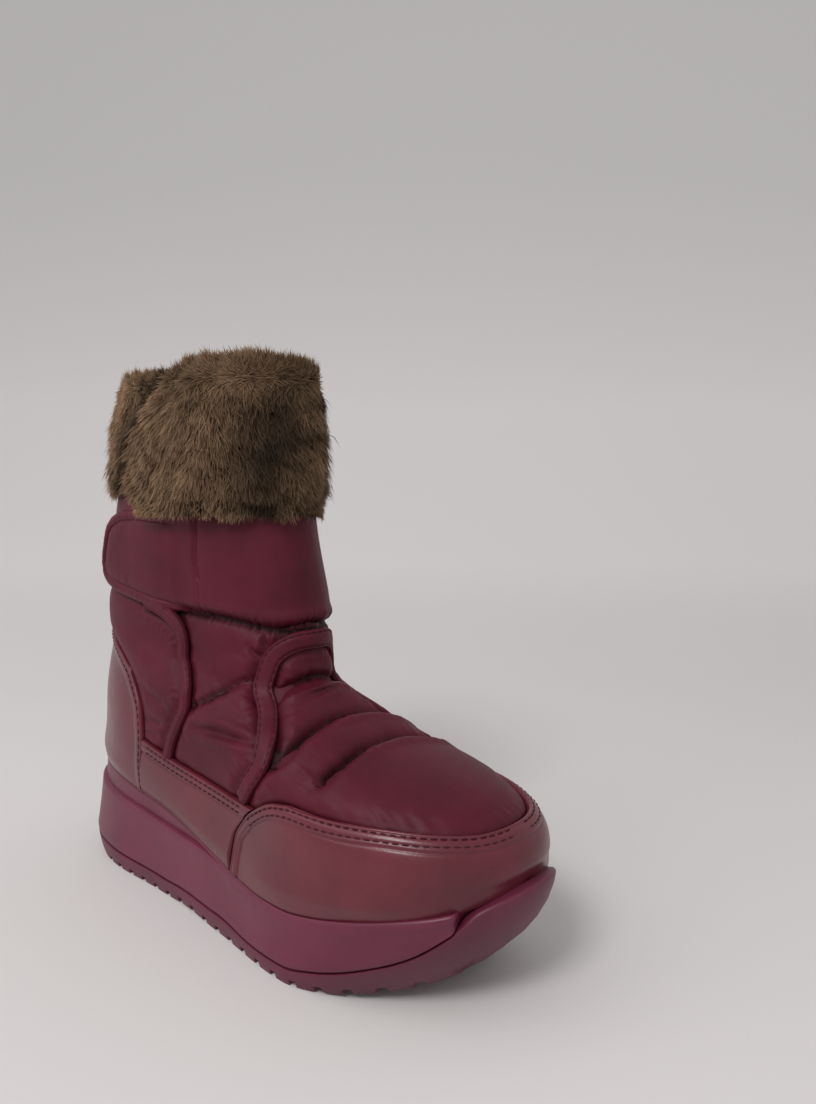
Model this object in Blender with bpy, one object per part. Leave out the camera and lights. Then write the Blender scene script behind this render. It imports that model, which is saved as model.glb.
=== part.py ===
"""Snow boot for the right foot: a padded nylon boot on a thick rocker sole, with a fur cuff and a side closure.

Metres, +X towards the toe, -Y the outer (lateral) side, +Y the inner (medial) side, +Z up.
The origin lies on the floor, in the middle of the heel's flat spot.

Two numbers place everything round the foot. The turn, in degrees, runs once round the boot seen from above:
0 at the heel, 90 on the outer side, 180 at the toe and 270 on the inner side. The level runs up the upper from
0 at the footbed, through 0.1 at the sole's edge, to 1 at the collar.
"""

import bpy
import numpy as np

# Driving sizes of the sole
LENGTH = 0.275              # heel back to toe tip
BALL_WIDTH = 0.097          # across the ball
SOLE_HEIGHT = 0.050         # edge above the floor, beside the heel
HEEL_SPOT = 0.055           # heel back to the middle of the heel's flat spot
TREAD_THICKNESS = 0.0045
TREAD_WALL = 0.0048         # side of the outsole's tray, and its bumper round the toe
FLOOR_INSET = 0.004         # from the ground line's rim in to the tray's floor
SIDE_STEP = 0.0008          # step under the heel's collar band, and notch over the tread line
LUG_PITCH = 0.0112
LUG_GROOVE = 0.0034
LUG_DEPTH = 0.0026

# Driving sizes of the upper
ANKLE_HEIGHT = 0.138        # back of the ankle above the floor
INSTEP_HEIGHT = 0.1025      # front of the ankle above the floor
COLLAR_HEIGHT = 0.247
SHAFT_DEPTH = 0.131         # front to back, at the cuff's lower edge
SHAFT_WIDTH = 0.057
SHAFT_LEAN = 0.004          # the shaft's shift to the outer side
UPPER_WALL = 0.0038         # nylon, padding and lining together
SEAM_DEPTH = 0.0022         # deepest of the sewn channels
INSOLE_THICKNESS = 0.0035

# Sizes of what is sewn on
LEATHER = 0.0016
STRIP_WIDTH = 0.0085
STRIP_THICKNESS = 0.0014
BINDING_WIDTH = 0.0065
BINDING_THICKNESS = 0.0022
TAB_THICKNESS = 0.0034
TAB_LIFT = 0.0065           # how far the tab's round end stands off the shaft
CUFF_THICKNESS = 0.0065
CUFF_BOTTOM = 0.184         # front piece above the floor
CUFF_BACK_RISE = 0.010      # how much higher the rear piece starts
CUFF_TOP_RISE = 0.003       # fur above the collar
LOCK_LENGTH = 0.0050

GAP = 0.0003                # between pieces that touch
REST = 0.0008               # under what lies on the upper's curved skin
EDGE_GAP = 0.9              # degrees of turn between two panels that meet side by side

COLUMNS = 48                # round the foot

# The sole's lines, station as a share of LENGTH. Heights are shares of SOLE_HEIGHT.
EDGE_LINE = (
    (0.000, 1.160), (0.029, 1.150), (0.051, 1.110), (0.087, 1.036), (0.138, 0.992), (0.189, 0.956),
    (0.240, 0.916), (0.291, 0.880), (0.335, 0.846), (0.396, 0.794), (0.473, 0.710), (0.545, 0.636),
    (0.585, 0.608), (0.633, 0.588), (0.687, 0.588), (0.742, 0.620), (0.793, 0.670), (0.873, 0.770),
    (0.945, 0.870), (0.975, 0.940), (1.000, 0.990))
GROUND_LINE = (
    (0.000, 0.220), (0.015, 0.170), (0.029, 0.120), (0.051, 0.064), (0.080, 0.022), (0.116, 0.000),
    (0.327, 0.000), (0.407, 0.024), (0.502, 0.000), (0.698, 0.000), (0.727, 0.008), (0.782, 0.040),
    (0.836, 0.096), (0.895, 0.190), (0.931, 0.290), (1.000, 0.520))
STEP_LINE = (
    (0.000, 0.890), (0.029, 0.870), (0.087, 0.804), (0.138, 0.768), (0.240, 0.720), (0.335, 0.678),
    (0.440, 0.660), (0.491, 0.630), (0.545, 0.590))
# Shares of the way from the tray's floor to the sole's edge
TREAD_LINE = (
    (0.000, 0.106), (0.073, 0.113), (0.109, 0.118), (0.218, 0.093), (0.400, 0.084), (0.531, 0.127),
    (0.618, 0.080), (0.691, 0.080), (0.745, 0.150), (0.818, 0.254), (0.891, 0.390), (0.938, 0.610),
    (0.967, 0.905), (1.000, 0.985))
FOOTBED_LINE = (
    (0.036, 0.730), (0.145, 0.810), (0.291, 0.756), (0.436, 0.700), (0.582, 0.690), (0.727, 0.700),
    (0.855, 0.650), (0.953, 0.520))
STEP_END = 0.545            # station where the collar band runs out
BUMPER_TURN = 145           # from here to the toe the tread's side stands in front of the wedge

# The sole seen from above. Breadths are shares of half the ball width.
OUTLINE = (                 # turn, breadth from the foot's middle line, over the sine of the turn
    (0.0, 1.567), (22.5, 1.402), (45.0, 1.099), (67.5, 0.845), (90.0, 0.858), (112.5, 1.072),
    (135.0, 1.229), (157.5, 1.412), (180.0, 1.526))
SWING = (                   # station, sideways place of the foot's middle line
    (0.000, -0.039), (0.218, -0.035), (0.498, -0.021), (0.691, 0.006), (0.855, 0.062), (0.960, 0.120),
    (1.000, 0.132))
TUCK = (                    # turn, how far the ground line's rim lies inside the outline
    (0, 0.062), (45, 0.052), (67, 0.041), (90, 0.031), (112, 0.031), (122, 0.103), (135, 0.247),
    (157, 0.412), (180, 0.495))
TAPER = (                   # turn, how far the sole's edge leans in
    (0, 0.144), (22, 0.124), (45, 0.082), (67, 0.037), (90, 0.021), (112, 0.016), (135, 0.006),
    (157, 0.000), (180, 0.000))
CORNER_REACH = (            # turn, share of the side that the lower corner's curve takes up
    (0, 0.30), (90, 0.28), (112, 0.35), (135, 0.75), (157, 1.00), (180, 1.00))
LIP = (                     # turn, from the sole's edge in to the upper
    (0, 0.050), (112, 0.050), (135, 0.082), (157, 0.175), (180, 0.227))
LIP_FOOT = (                # turn, further in again at the footbed
    (0, 0.020), (112, 0.030), (135, 0.060), (157, 0.100), (180, 0.110))

# Key rings of the upper. Stations are shares of LENGTH, heights of ANKLE_HEIGHT at the back and INSTEP_HEIGHT
# in front, sag of INSTEP_HEIGHT, breadths at five turns of half the ball width.
FOOT_RINGS = (
    # level, back station, back height, front station, front height, sag, 0, 45, 90, 135, 180
    (0.20, 0.0310, 0.536, 0.978, 0.551, -0.117, 1.216, 0.960, 0.784, 1.237, 1.567),
    (0.30, 0.0335, 0.674, 0.964, 0.644, -0.098, 1.155, 0.955, 0.788, 1.206, 1.485),
    (0.38, 0.0370, 0.768, 0.916, 0.707, -0.078, 1.113, 0.928, 0.773, 1.093, 1.320),
    (0.46, 0.0410, 0.841, 0.829, 0.761, -0.059, 1.072, 0.887, 0.753, 0.959, 1.113),
    (0.54, 0.0420, 0.906, 0.727, 0.829, -0.039, 1.040, 0.860, 0.736, 0.856, 0.990),
    (0.61, 0.0400, 0.957, 0.644, 0.902, -0.020, 1.005, 0.842, 0.708, 0.775, 0.907),
    (0.68, 0.0385, 1.000, 0.583, 1.000, -0.010, 0.975, 0.810, 0.675, 0.715, 0.866))
# Shaft rings: back as a share of LENGTH, depth of SHAFT_DEPTH, rises from the ankle and instep to the collar,
# breadths of half the shaft width.
SHAFT_RINGS = (
    # level, back station, depth, back rise, front rise, 0, 45, 90, 135, 180
    (0.75, 0.0450, 1.111, 0.064, 0.107, 1.600, 1.360, 1.130, 1.150, 1.330),
    (0.82, 0.0560, 1.090, 0.156, 0.260, 1.500, 1.270, 1.080, 1.120, 1.260),
    (0.90, 0.0800, 1.000, 0.431, 0.536, 1.368, 1.158, 1.000, 1.035, 1.158),
    (1.00, 0.1310, 0.878, 1.000, 1.000, 1.298, 1.105, 0.947, 0.982, 1.088))
RING_TURNS = (0, 45, 90, 135, 180)
EDGE_LEVEL = 0.10           # the sole's edge
CHANNELS = (                # level, depth as a share of SEAM_DEPTH, first and last turn
    (0.530, 0.50, 125, 235), (0.603, 0.60, 118, 242), (0.700, 0.45, 120, 240), (0.797, 1.00, 0, 360))
CHANNEL_WIDTH = 0.016       # in level
OUTER_LEVELS = (0.00, 0.10, 0.17, 0.24, 0.295, 0.34, 0.385, 0.44, 0.49, 0.53, 0.567, 0.603, 0.65, 0.70,
                0.75, 0.797, 0.84, 0.90, 0.95, 1.00)
INNER_LEVELS = (1.00, 0.90, 0.82, 0.75, 0.68, 0.58, 0.46, 0.34, 0.22, 0.10, 0.00)

# Panel lines on the upper, as turn and level
PANEL_FOOT = ((0, 0.105), (90, 0.110), (180, 0.125))     # where the leather starts, over the sole's edge
COUNTER_FRONT = ((0.10, 62.0), (0.20, 61.0), (0.27, 61.5), (0.35, 61.5), (0.42, 60.0), (0.48, 57.0))
COUNTER_TOP = ((0, 0.560), (20, 0.560), (35, 0.550), (47, 0.525), (54, 0.500), (60, 0.470))
CAP_REAR = ((0.10, 95.5), (0.18, 97.0), (0.22, 99.5), (0.255, 102.0), (0.292, 106.0), (0.325, 111.5), (0.340, 117.0))
CAP_TOP = ((95, 0.340), (140, 0.340), (155, 0.328), (167, 0.319), (180, 0.320))
BAND_TOP = 0.272
SADDLE_PATH = (             # turn, level, along the middle of the strip
    (99.5, 0.290), (106.5, 0.372), (117.5, 0.465), (130.5, 0.555), (142.0, 0.636), (147.0, 0.700),
    (153.5, 0.758), (164.0, 0.778), (180.0, 0.783))
BINDING_PATH = (
    (72.0, 0.292), (75.5, 0.345), (82.0, 0.430), (90.0, 0.510), (98.0, 0.590), (103.0, 0.680),
    (102.5, 0.725), (99.5, 0.752))
TAB_LOWER = ((38, 0.830), (42, 0.802), (50, 0.786), (60, 0.780), (75, 0.780), (91, 0.778), (113.5, 0.776))
TAB_UPPER = ((38, 0.850), (42, 0.880), (50, 0.893), (60, 0.899), (75, 0.901), (113.5, 0.901))
TAB_END = 38
TAB_FRONT = 113.5

# The cuff, a strip of fur cloth whose front end lies over its rear end
CUFF_EDGE = (               # height as a share of the cuff's, turn of the upper end's edge
    (0.00, 86), (0.20, 82), (0.60, 87), (0.80, 94), (0.92, 102), (1.00, 109))
CUFF_END = 478              # turn of the end that is tucked under
CUFF_END_SHARE = 0.6        # that end's thickness over the rest
CUFF_EASE = 45              # turn over which the upper end comes down to the shaft again
CUFF_BACK = (330, 390)      # turns between which the lower edge rises
CUFF_STEPS = 52
CUFF_PROFILE = (            # offset as a share of CUFF_THICKNESS, height as a share of the cuff's
    (0.00, 0.04), (0.00, 0.28), (0.00, 0.52), (0.00, 0.75), (0.00, 0.95), (0.28, 1.00), (0.66, 0.98),
    (0.90, 0.88), (1.00, 0.72), (1.00, 0.55), (1.00, 0.38), (0.97, 0.22), (0.86, 0.07), (0.35, 0.00))
CUFF_LOCK_FACES = range(5, 13)      # profile faces that carry locks
LOCK_FALL = 0.35            # downward lean of a lock, as a share of its length
LOCK_SEED = 7

NYLON = (0.120, 0.020, 0.034)
COATED = (0.130, 0.036, 0.048)
RUBBER = (0.135, 0.038, 0.068)
FUR = (0.085, 0.055, 0.040)
LINING = (0.060, 0.040, 0.036)


def columns(table):
    return np.array(table, float).T


def ease(table, at):
    """Monotone cubic through a table's rows: it never swings past a row's value."""
    x, y = columns(table)[:2]
    step = np.diff(x)
    slope = np.diff(y) / step
    before, after = slope[:-1], slope[1:]
    keep = before * after > 0
    near = 2 * step[1:] + step[:-1]
    far = step[1:] + 2 * step[:-1]
    mean = (near + far) / np.where(keep, near / np.where(keep, before, 1) + far / np.where(keep, after, 1), 1)
    tangent = np.concatenate([slope[:1], np.where(keep, mean, 0), slope[-1:]])
    return hermite(x, y, tangent, at)


def flow(table, at):
    """Smooth cubic through a table's rows, with the slope at each row taken from its neighbours."""
    x, y = columns(table)[:2]
    step = np.diff(x)
    slope = np.diff(y) / step
    middle = (slope[:-1] * step[1:] + slope[1:] * step[:-1]) / (step[:-1] + step[1:])
    return hermite(x, y, np.concatenate([slope[:1], middle, slope[-1:]]), at)


def hermite(x, y, tangent, at):
    at = np.clip(np.asarray(at, float), x[0], x[-1])
    i = np.clip(np.searchsorted(x, at, side="right") - 1, 0, len(x) - 2)
    step = x[i + 1] - x[i]
    u = (at - x[i]) / step
    return (y[i] * (2 * u**3 - 3 * u**2 + 1) + y[i + 1] * (3 * u**2 - 2 * u**3)
            + tangent[i] * step * (u**3 - 2 * u**2 + u) + tangent[i + 1] * step * (u**3 - u**2))


def fold(turn):
    """The turn counted from the heel on either side, and the side: -1 outer, +1 inner."""
    whole = np.mod(np.asarray(turn, float), 360.0)
    return np.where(whole > 180, 360 - whole, whole), np.where(whole > 180, 1.0, -1.0)


def edge_height(x):
    return SOLE_HEIGHT * ease(EDGE_LINE, x / LENGTH)


def ground_height(x):
    return SOLE_HEIGHT * ease(GROUND_LINE, x / LENGTH)


def between_floor_and_edge(table, x):
    floor = ground_height(x) + TREAD_THICKNESS
    return floor + ease(table, x / LENGTH) * (edge_height(x) - floor)


def middle_line(x):
    return BALL_WIDTH / 2 * flow(SWING, x / LENGTH)


def outline(turn):
    """The sole's widest line seen from above."""
    folded, side = fold(turn)
    x = LENGTH * (1 - np.cos(np.radians(folded))) / 2
    breadth = BALL_WIDTH / 2 * flow(OUTLINE, folded) * np.sin(np.radians(folded))
    return np.stack([x, side * breadth + middle_line(x)], -1)


def outline_inset(turn, inset):
    """The outline moved in by a distance, square to itself."""
    along = outline(np.asarray(turn) + 0.5) - outline(np.asarray(turn) - 0.5)
    along /= np.linalg.norm(along, axis=-1, keepdims=True)
    inward = np.stack([-along[..., 1], along[..., 0]], -1)
    return outline(turn) + inward * np.asarray(inset)[..., None]


def half_ball(table, turn):
    return BALL_WIDTH / 2 * ease(table, fold(turn)[0])


def sole_side(turn, rise, inset=0.0):
    """The sole's side, rise 0 at the ground line and 1 at the edge: a round lower corner, then a lean inwards."""
    folded = fold(turn)[0]
    corner = 1 - (1 - np.clip(rise / ease(CORNER_REACH, folded), 0, 1)) ** 1.9
    lean = np.clip((rise - 0.25) / 0.75, 0, 1) ** 1.3
    shift = half_ball(TUCK, turn) * (1 - corner) + half_ball(TAPER, turn) * lean
    plan = outline_inset(turn, shift + inset)
    low = ground_height(outline_inset(turn, half_ball(TUCK, turn))[..., 0])
    z = low + (edge_height(outline(turn)[..., 0]) - low) * rise
    return np.concatenate([plan, z[..., None]], -1)


def side_rise(turn, height):
    """The rise on the sole's side that lies at a height above the floor."""
    low = ground_height(outline_inset(turn, half_ball(TUCK, turn))[..., 0])
    return np.clip((height - low) / (edge_height(outline(turn)[..., 0]) - low), 0, 1)


def footbed_height(x):
    return between_floor_and_edge(FOOTBED_LINE, x)


def key_rings(turn):
    """Every key ring's points at these turns, from the footbed up."""
    folded, side = fold(turn)
    angle = np.radians(folded)
    share = (1 - np.cos(angle)) / 2
    lip = outline_inset(turn, half_ball(TAPER, turn) + half_ball(LIP, turn))
    foot = outline_inset(turn, half_ball(TAPER, turn) + half_ball(LIP, turn) + half_ball(LIP_FOOT, turn))
    rings = [np.concatenate([foot, footbed_height(foot[..., :1]) + GAP], -1),
             np.concatenate([lip, edge_height(outline(turn)[..., :1])], -1)]
    for _, back, back_z, front, front_z, sag, *breadths in FOOT_RINGS:
        x = LENGTH * (back + (front - back) * share)
        low, high = back_z * ANKLE_HEIGHT, front_z * INSTEP_HEIGHT
        z = low + (high - low) * share + sag * INSTEP_HEIGHT * np.sin(np.pi * share)
        breadth = BALL_WIDTH / 2 * flow(tuple(zip(RING_TURNS, breadths)), folded) * np.sin(angle)
        fade = np.clip(1.36 - z / INSTEP_HEIGHT * 0.93, 0, 1)
        rings.append(np.stack([x, side * breadth + middle_line(x) * fade, z], -1))
    for _, back, depth, back_rise, front_rise, *breadths in SHAFT_RINGS:
        x = LENGTH * back + SHAFT_DEPTH * depth * share
        low = ANKLE_HEIGHT + back_rise * (COLLAR_HEIGHT - ANKLE_HEIGHT)
        high = INSTEP_HEIGHT + front_rise * (COLLAR_HEIGHT - INSTEP_HEIGHT)
        breadth = SHAFT_WIDTH / 2 * flow(tuple(zip(RING_TURNS, breadths)), folded) * np.sin(angle)
        lean = SHAFT_LEAN * np.clip(back_rise / 0.431, 0, 1)
        rings.append(np.stack([x, side * breadth - lean, low + (high - low) * share], -1))
    return np.stack(rings)


KEY_LEVELS = np.array([0.0, EDGE_LEVEL] + [row[0] for row in FOOT_RINGS + SHAFT_RINGS])


def skin(turn, level):
    """The upper's outer face: a smooth cubic up through the key rings."""
    turn, level = np.broadcast_arrays(np.asarray(turn, float), np.asarray(level, float))
    rings = key_rings(turn)
    last = len(KEY_LEVELS) - 1
    i = np.clip(np.searchsorted(KEY_LEVELS, level, side="right") - 1, 0, last - 1)

    def ring(k):
        return rings[(np.clip(k, 0, last),) + tuple(np.indices(level.shape))]

    def run(k):
        k = np.clip(k, 0, last - 1)
        return (KEY_LEVELS[k + 1] - KEY_LEVELS[k])[..., None]

    step = run(i)
    slope = (ring(i + 1) - ring(i)) / step
    before = np.where((i > 0)[..., None], (ring(i) - ring(i - 1)) / run(i - 1), slope)
    after = np.where((i < last - 1)[..., None], (ring(i + 2) - ring(i + 1)) / run(i + 1), slope)
    start = (before * step + slope * run(i - 1)) / (step + run(i - 1))
    end = (slope * run(i + 1) + after * step) / (step + run(i + 1))
    u = (level[..., None] - KEY_LEVELS[i][..., None]) / step
    return (ring(i) * (2 * u**3 - 3 * u**2 + 1) + ring(i + 1) * (3 * u**2 - 2 * u**3)
            + start * step * (u**3 - 2 * u**2 + u) + end * step * (u**3 - u**2))


def directions(turn, level):
    """How the skin moves with the turn and with the level, per degree and per unit of level."""
    half_turn, half_level = 0.4, 0.004
    low = np.clip(level - half_level, 0, 1)
    high = np.clip(level + half_level, 0, 1)
    with_turn = (skin(turn + half_turn, level) - skin(turn - half_turn, level)) / (2 * half_turn)
    with_level = (skin(turn, high) - skin(turn, low)) / np.asarray(high - low)[..., None]
    return with_turn, with_level


def normal(turn, level):
    n = np.cross(*directions(turn, level))
    return n / np.linalg.norm(n, axis=-1, keepdims=True)


def raised(turn, level, offset):
    turn, level = np.broadcast_arrays(np.asarray(turn, float), np.asarray(level, float))
    return skin(turn, level) + normal(turn, level) * np.asarray(offset)[..., None]


def level_at(turn, height):
    """The level on the shaft that lies at a height above the floor."""
    level = 0.9 + 0 * turn
    for _ in range(4):
        level = level + (height - skin(turn, level)[..., 2]) / directions(turn, level)[1][..., 2]
        level = np.clip(level, 0.75, 1.0)
    return level


def channels(turn, level):
    """Depth of the sewn channels, as soft troughs along levels of the skin."""
    depth = np.zeros(np.broadcast(turn, level).shape)
    for at, share, first, last in CHANNELS:
        fade = 1.0
        if last - first < 360:
            fade = np.clip(np.minimum(turn - first, last - turn) / 15, 0, 1)
        depth = depth + SEAM_DEPTH * share * fade * np.exp(-((level - at) / CHANNEL_WIDTH) ** 2)
    return depth


def shifted(turn, level, sideways):
    """The turn and level a short way off, sideways being a vector that lies along the skin."""
    with_turn, with_level = directions(turn, level)
    aa = (with_turn**2).sum(-1)
    bb = (with_level**2).sum(-1)
    ab = (with_turn * with_level).sum(-1)
    a = (sideways * with_turn).sum(-1)
    b = (sideways * with_level).sum(-1)
    spread = aa * bb - ab**2
    return turn + (a * bb - b * ab) / spread, level + (b * aa - a * ab) / spread


def add_piece(name, vertices, faces, colour, roughness, sharp=40):
    """A closed mesh as a named object with its own material, faces turned outwards."""
    points = np.array(vertices, float)
    volume = sum(np.dot(points[f[0]], np.cross(points[f[i]], points[f[i + 1]]))
                 for f in faces for i in range(1, len(f) - 1))
    if volume < 0:
        faces = [tuple(reversed(f)) for f in faces]
    points[:, 0] -= HEEL_SPOT
    mesh = bpy.data.meshes.new(name)
    mesh.from_pydata(points.tolist(), [], faces)
    mesh.validate()
    mesh.shade_smooth()
    mesh.set_sharp_from_angle(angle=np.radians(sharp))
    material = bpy.data.materials.new(name)
    material.use_nodes = True
    shader = material.node_tree.nodes["Principled BSDF"]
    shader.inputs["Base Color"].default_value = (*colour, 1.0)
    shader.inputs["Roughness"].default_value = roughness
    mesh.materials.append(material)
    piece = bpy.data.objects.new(name, mesh)
    bpy.context.scene.collection.objects.link(piece)
    return piece


def band_faces(first, second, count, closed=True):
    """Quads between two rows of vertices that start at these indices."""
    last = count if closed else count - 1
    return [(first + i, first + (i + 1) % count, second + (i + 1) % count, second + i) for i in range(last)]


def ladder(vertices, ring_start, count, strips):
    """Fills a ring that starts at the heel with rungs across the foot, level with their ends."""
    faces = []
    rungs = []
    for i in range(1, count // 2):
        left, right = vertices[ring_start + i], vertices[ring_start + count - i]
        rung = [ring_start + i]
        for k in range(1, strips):
            share = k / strips
            rung.append(len(vertices))
            vertices.append(tuple(a + (b - a) * share for a, b in zip(left, right)))
        rung.append(ring_start + count - i)
        rungs.append(rung)
    for one, two in zip(rungs[:-1], rungs[1:]):
        faces += [(one[k], two[k], two[k + 1], one[k + 1]) for k in range(strips)]
    heel, toe = ring_start, ring_start + count // 2
    faces += [(heel, rungs[0][k], rungs[0][k + 1]) for k in range(strips)]
    faces += [(toe, rungs[-1][k + 1], rungs[-1][k]) for k in range(strips)]
    return faces


def loft(rings, strips_first=0, strips_last=0, wrap=False):
    """Vertices and faces through closed rings, ended by ladders or wrapped round on itself."""
    count = len(rings[0])
    vertices = [tuple(p) for ring in rings for p in ring]
    faces = []
    for k in range(len(rings) - 1):
        faces += band_faces(k * count, (k + 1) * count, count)
    if wrap:
        faces += band_faces((len(rings) - 1) * count, 0, count)
    else:
        faces += [tuple(reversed(f)) for f in ladder(vertices, 0, count, strips_first)]
        faces += ladder(vertices, (len(rings) - 1) * count, count, strips_last)
    return vertices, faces


def slab(name, turn, level, bottom, top, colour, roughness):
    """A panel on the upper, from a grid of turns and levels and its two faces' offsets."""
    rows, cols = turn.shape
    lower = raised(turn, level, bottom).reshape(-1, 3)
    upper = raised(turn, level, top).reshape(-1, 3)
    vertices = [tuple(p) for p in np.concatenate([lower, upper])]
    shift = rows * cols
    faces = []
    for r in range(rows - 1):
        for c in range(cols - 1):
            a = r * cols + c
            quad = (a, a + 1, a + cols + 1, a + cols)
            faces.append(tuple(reversed(quad)))
            faces.append(tuple(shift + v for v in quad))
    rim = ([c for c in range(cols)] + [r * cols + cols - 1 for r in range(1, rows)]
           + [(rows - 1) * cols + c for c in range(cols - 2, -1, -1)] + [r * cols for r in range(rows - 2, 0, -1)])
    faces += [(a, b, shift + b, shift + a) for a, b in zip(rim, rim[1:] + rim[:1])]
    return add_piece(name, vertices, faces, colour, roughness)


def grid(rows, cols):
    return np.meshgrid(np.linspace(0, 1, rows), np.linspace(0, 1, cols), indexing="ij")


TURNS = np.arange(COLUMNS) * 360.0 / COLUMNS


def tread_line():
    return between_floor_and_edge(TREAD_LINE, outline(TURNS)[:, 0])


def tray_rings(clearance, lift):
    """The inside of the outsole's tray, floor first, moved in by a clearance and its floor up by a lift."""
    rim = half_ball(TUCK, TURNS) + FLOOR_INSET + clearance
    plan = outline_inset(TURNS, rim)
    floor = ground_height(outline_inset(TURNS, half_ball(TUCK, TURNS))[:, 0]) + TREAD_THICKNESS + lift
    top = side_rise(TURNS, tread_line())
    middle = sole_side(TURNS, 0.45 * top, TREAD_WALL + clearance)
    middle[:, 2] = np.maximum(middle[:, 2], floor + 0.3 * (tread_line() - floor))
    return [np.column_stack([plan, floor]), middle, sole_side(TURNS, top, TREAD_WALL + clearance)]


def build_outsole():
    """The tread: a tray with its side up to the tread line and a bumper up over the toe, cut across by grooves."""
    top = side_rise(TURNS, tread_line())
    outside = [sole_side(TURNS, top * share) for share in (0.0, 0.3, 0.65, 1.0)]
    vertices, faces = loft(tray_rings(0.0, 0.0) + outside[::-1], strips_first=2, strips_last=4)
    outsole = add_piece("outsole", vertices, faces, RUBBER, 0.55)
    cutter = lug_cutter()
    cut = outsole.modifiers.new("lugs", "BOOLEAN")
    cut.operation = "DIFFERENCE"
    cut.solver = "EXACT"
    cut.object = cutter


def lug_cutter():
    """Bars across the sole between the lugs. None crosses the two flat spots at heel and ball."""
    half = LUG_GROOVE / 2
    side = BALL_WIDTH
    vertices, faces = [], []
    for k in range(int(0.93 * LENGTH / LUG_PITCH)):
        x = HEEL_SPOT - 3.5 * LUG_PITCH + k * LUG_PITCH
        top = float(ground_height(np.array(x))) + LUG_DEPTH
        start = len(vertices)
        for dx in (-half, half):
            for y, z in ((-side, -LUG_DEPTH), (side, -LUG_DEPTH), (side, top), (-side, top)):
                vertices.append((x + dx - HEEL_SPOT, y, z))
        a, b = start, start + 4
        faces += [(a + 3, a + 2, a + 1, a), (b, b + 1, b + 2, b + 3)]
        faces += [(a + i, a + (i + 1) % 4, b + (i + 1) % 4, b + i) for i in range(4)]
    mesh = bpy.data.meshes.new("lug_cutter")
    mesh.from_pydata(vertices, [], faces)
    mesh.validate()
    cutter = bpy.data.objects.new("lug_cutter", mesh)
    bpy.context.scene.collection.objects.link(cutter)
    cutter.hide_render = True
    cutter.display_type = "WIRE"
    return cutter


def build_midsole():
    """The wedge: it stands in the tray, steps out over the tread line, and is a cup round the upper's foot."""
    folded = fold(TURNS)[0]
    behind_bumper = folded > BUMPER_TURN
    edge = edge_height(outline(TURNS)[:, 0])
    step_out = np.minimum(tread_line() + 2 * GAP, edge - 0.004)
    inner = tray_rings(REST, GAP)
    low = side_rise(TURNS, step_out)
    x = outline(TURNS)[:, 0]
    step = side_rise(TURNS, SOLE_HEIGHT * ease(STEP_LINE, np.minimum(x / LENGTH, STEP_END)))
    step = np.where(x / LENGTH < STEP_END, step, low + 0.8 * (1 - low))
    band = SIDE_STEP * np.clip((STEP_END - x / LENGTH) / 0.1, 0, 1)
    outside = [
        sole_side(TURNS, low, SIDE_STEP),
        sole_side(TURNS, low + 0.12 * (step - low)),
        sole_side(TURNS, low + 0.55 * (step - low)),
        sole_side(TURNS, step),
        sole_side(TURNS, step + 0.1 * (1 - step), band),
        sole_side(TURNS, 1.0 + 0 * low, band)]
    middle, top = inner[1], inner[2].copy()
    inner[2][:, 2] = step_out - np.where(behind_bumper, GAP, 0)
    for ring in inner[2:] + outside:
        share = (ring[:, 2] - middle[:, 2]) / (top[:, 2] - middle[:, 2])
        ring[behind_bumper] = (middle + (top - middle) * share[:, None])[behind_bumper]
    cup = [raised(TURNS, EDGE_LEVEL + 0 * TURNS, GAP), raised(TURNS, 0 * TURNS, GAP)]
    cup[0][:, 2] = edge
    cup[1][:, 2] = footbed_height(cup[1][:, 0])
    vertices, faces = loft(inner + outside + cup, strips_first=2, strips_last=2)
    add_piece("midsole", vertices, faces, RUBBER, 0.5)


def build_insole():
    """The footbed's cover, inside the upper."""
    inside = [raised(TURNS, 0 * TURNS, -UPPER_WALL - 2 * GAP) for _ in range(2)]
    for ring, height in zip(inside, (GAP, GAP + INSOLE_THICKNESS)):
        ring[:, 2] = footbed_height(ring[:, 0]) + height
    vertices, faces = loft(inside, strips_first=2, strips_last=2)
    add_piece("insole", vertices, faces, LINING, 0.9)


def build_upper():
    """One hollow wall from footbed to collar, open at both, with the channels sewn into its outer face."""
    outer = [raised(TURNS, level + 0 * TURNS, -channels(TURNS, level + 0 * TURNS)) for level in OUTER_LEVELS]
    inner = [raised(TURNS, level + 0 * TURNS, -UPPER_WALL - channels(TURNS, level + 0 * TURNS))
             for level in INNER_LEVELS]
    for ring in outer[:1] + inner[-1:]:
        ring[:, 2] = footbed_height(ring[:, 0]) + GAP
    for ring in outer[-1:] + inner[:1]:
        ring[:, 2] = COLLAR_HEIGHT
    vertices, faces = loft(outer + inner, wrap=True)
    add_piece("upper", vertices, faces, NYLON, 0.5)


def panel_level(turn, share, top):
    foot = ease(PANEL_FOOT, fold(turn)[0])
    return foot + share * (top - foot)


def build_heel_counter():
    share, around = grid(8, 17)
    level = PANEL_FOOT[0][1] + share * (COUNTER_TOP[-1][1] - PANEL_FOOT[0][1])
    turn = (2 * around - 1) * ease(COUNTER_FRONT, level)
    level = panel_level(turn, share, ease(COUNTER_TOP, np.abs(turn)))
    slab("heel_counter", turn, level, REST + 0 * turn, REST + LEATHER + 0 * turn, COATED, 0.4)


def build_toe_cap():
    share, around = grid(7, 25)
    level = PANEL_FOOT[1][1] + share * (CAP_TOP[0][1] - PANEL_FOOT[1][1])
    turn = 180 + (2 * around - 1) * (180 - ease(CAP_REAR, level))
    level = panel_level(turn, share, ease(CAP_TOP, fold(turn)[0]))
    slab("toe_cap", turn, level, REST + 0 * turn, REST + LEATHER + 0 * turn, COATED, 0.38)


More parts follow.
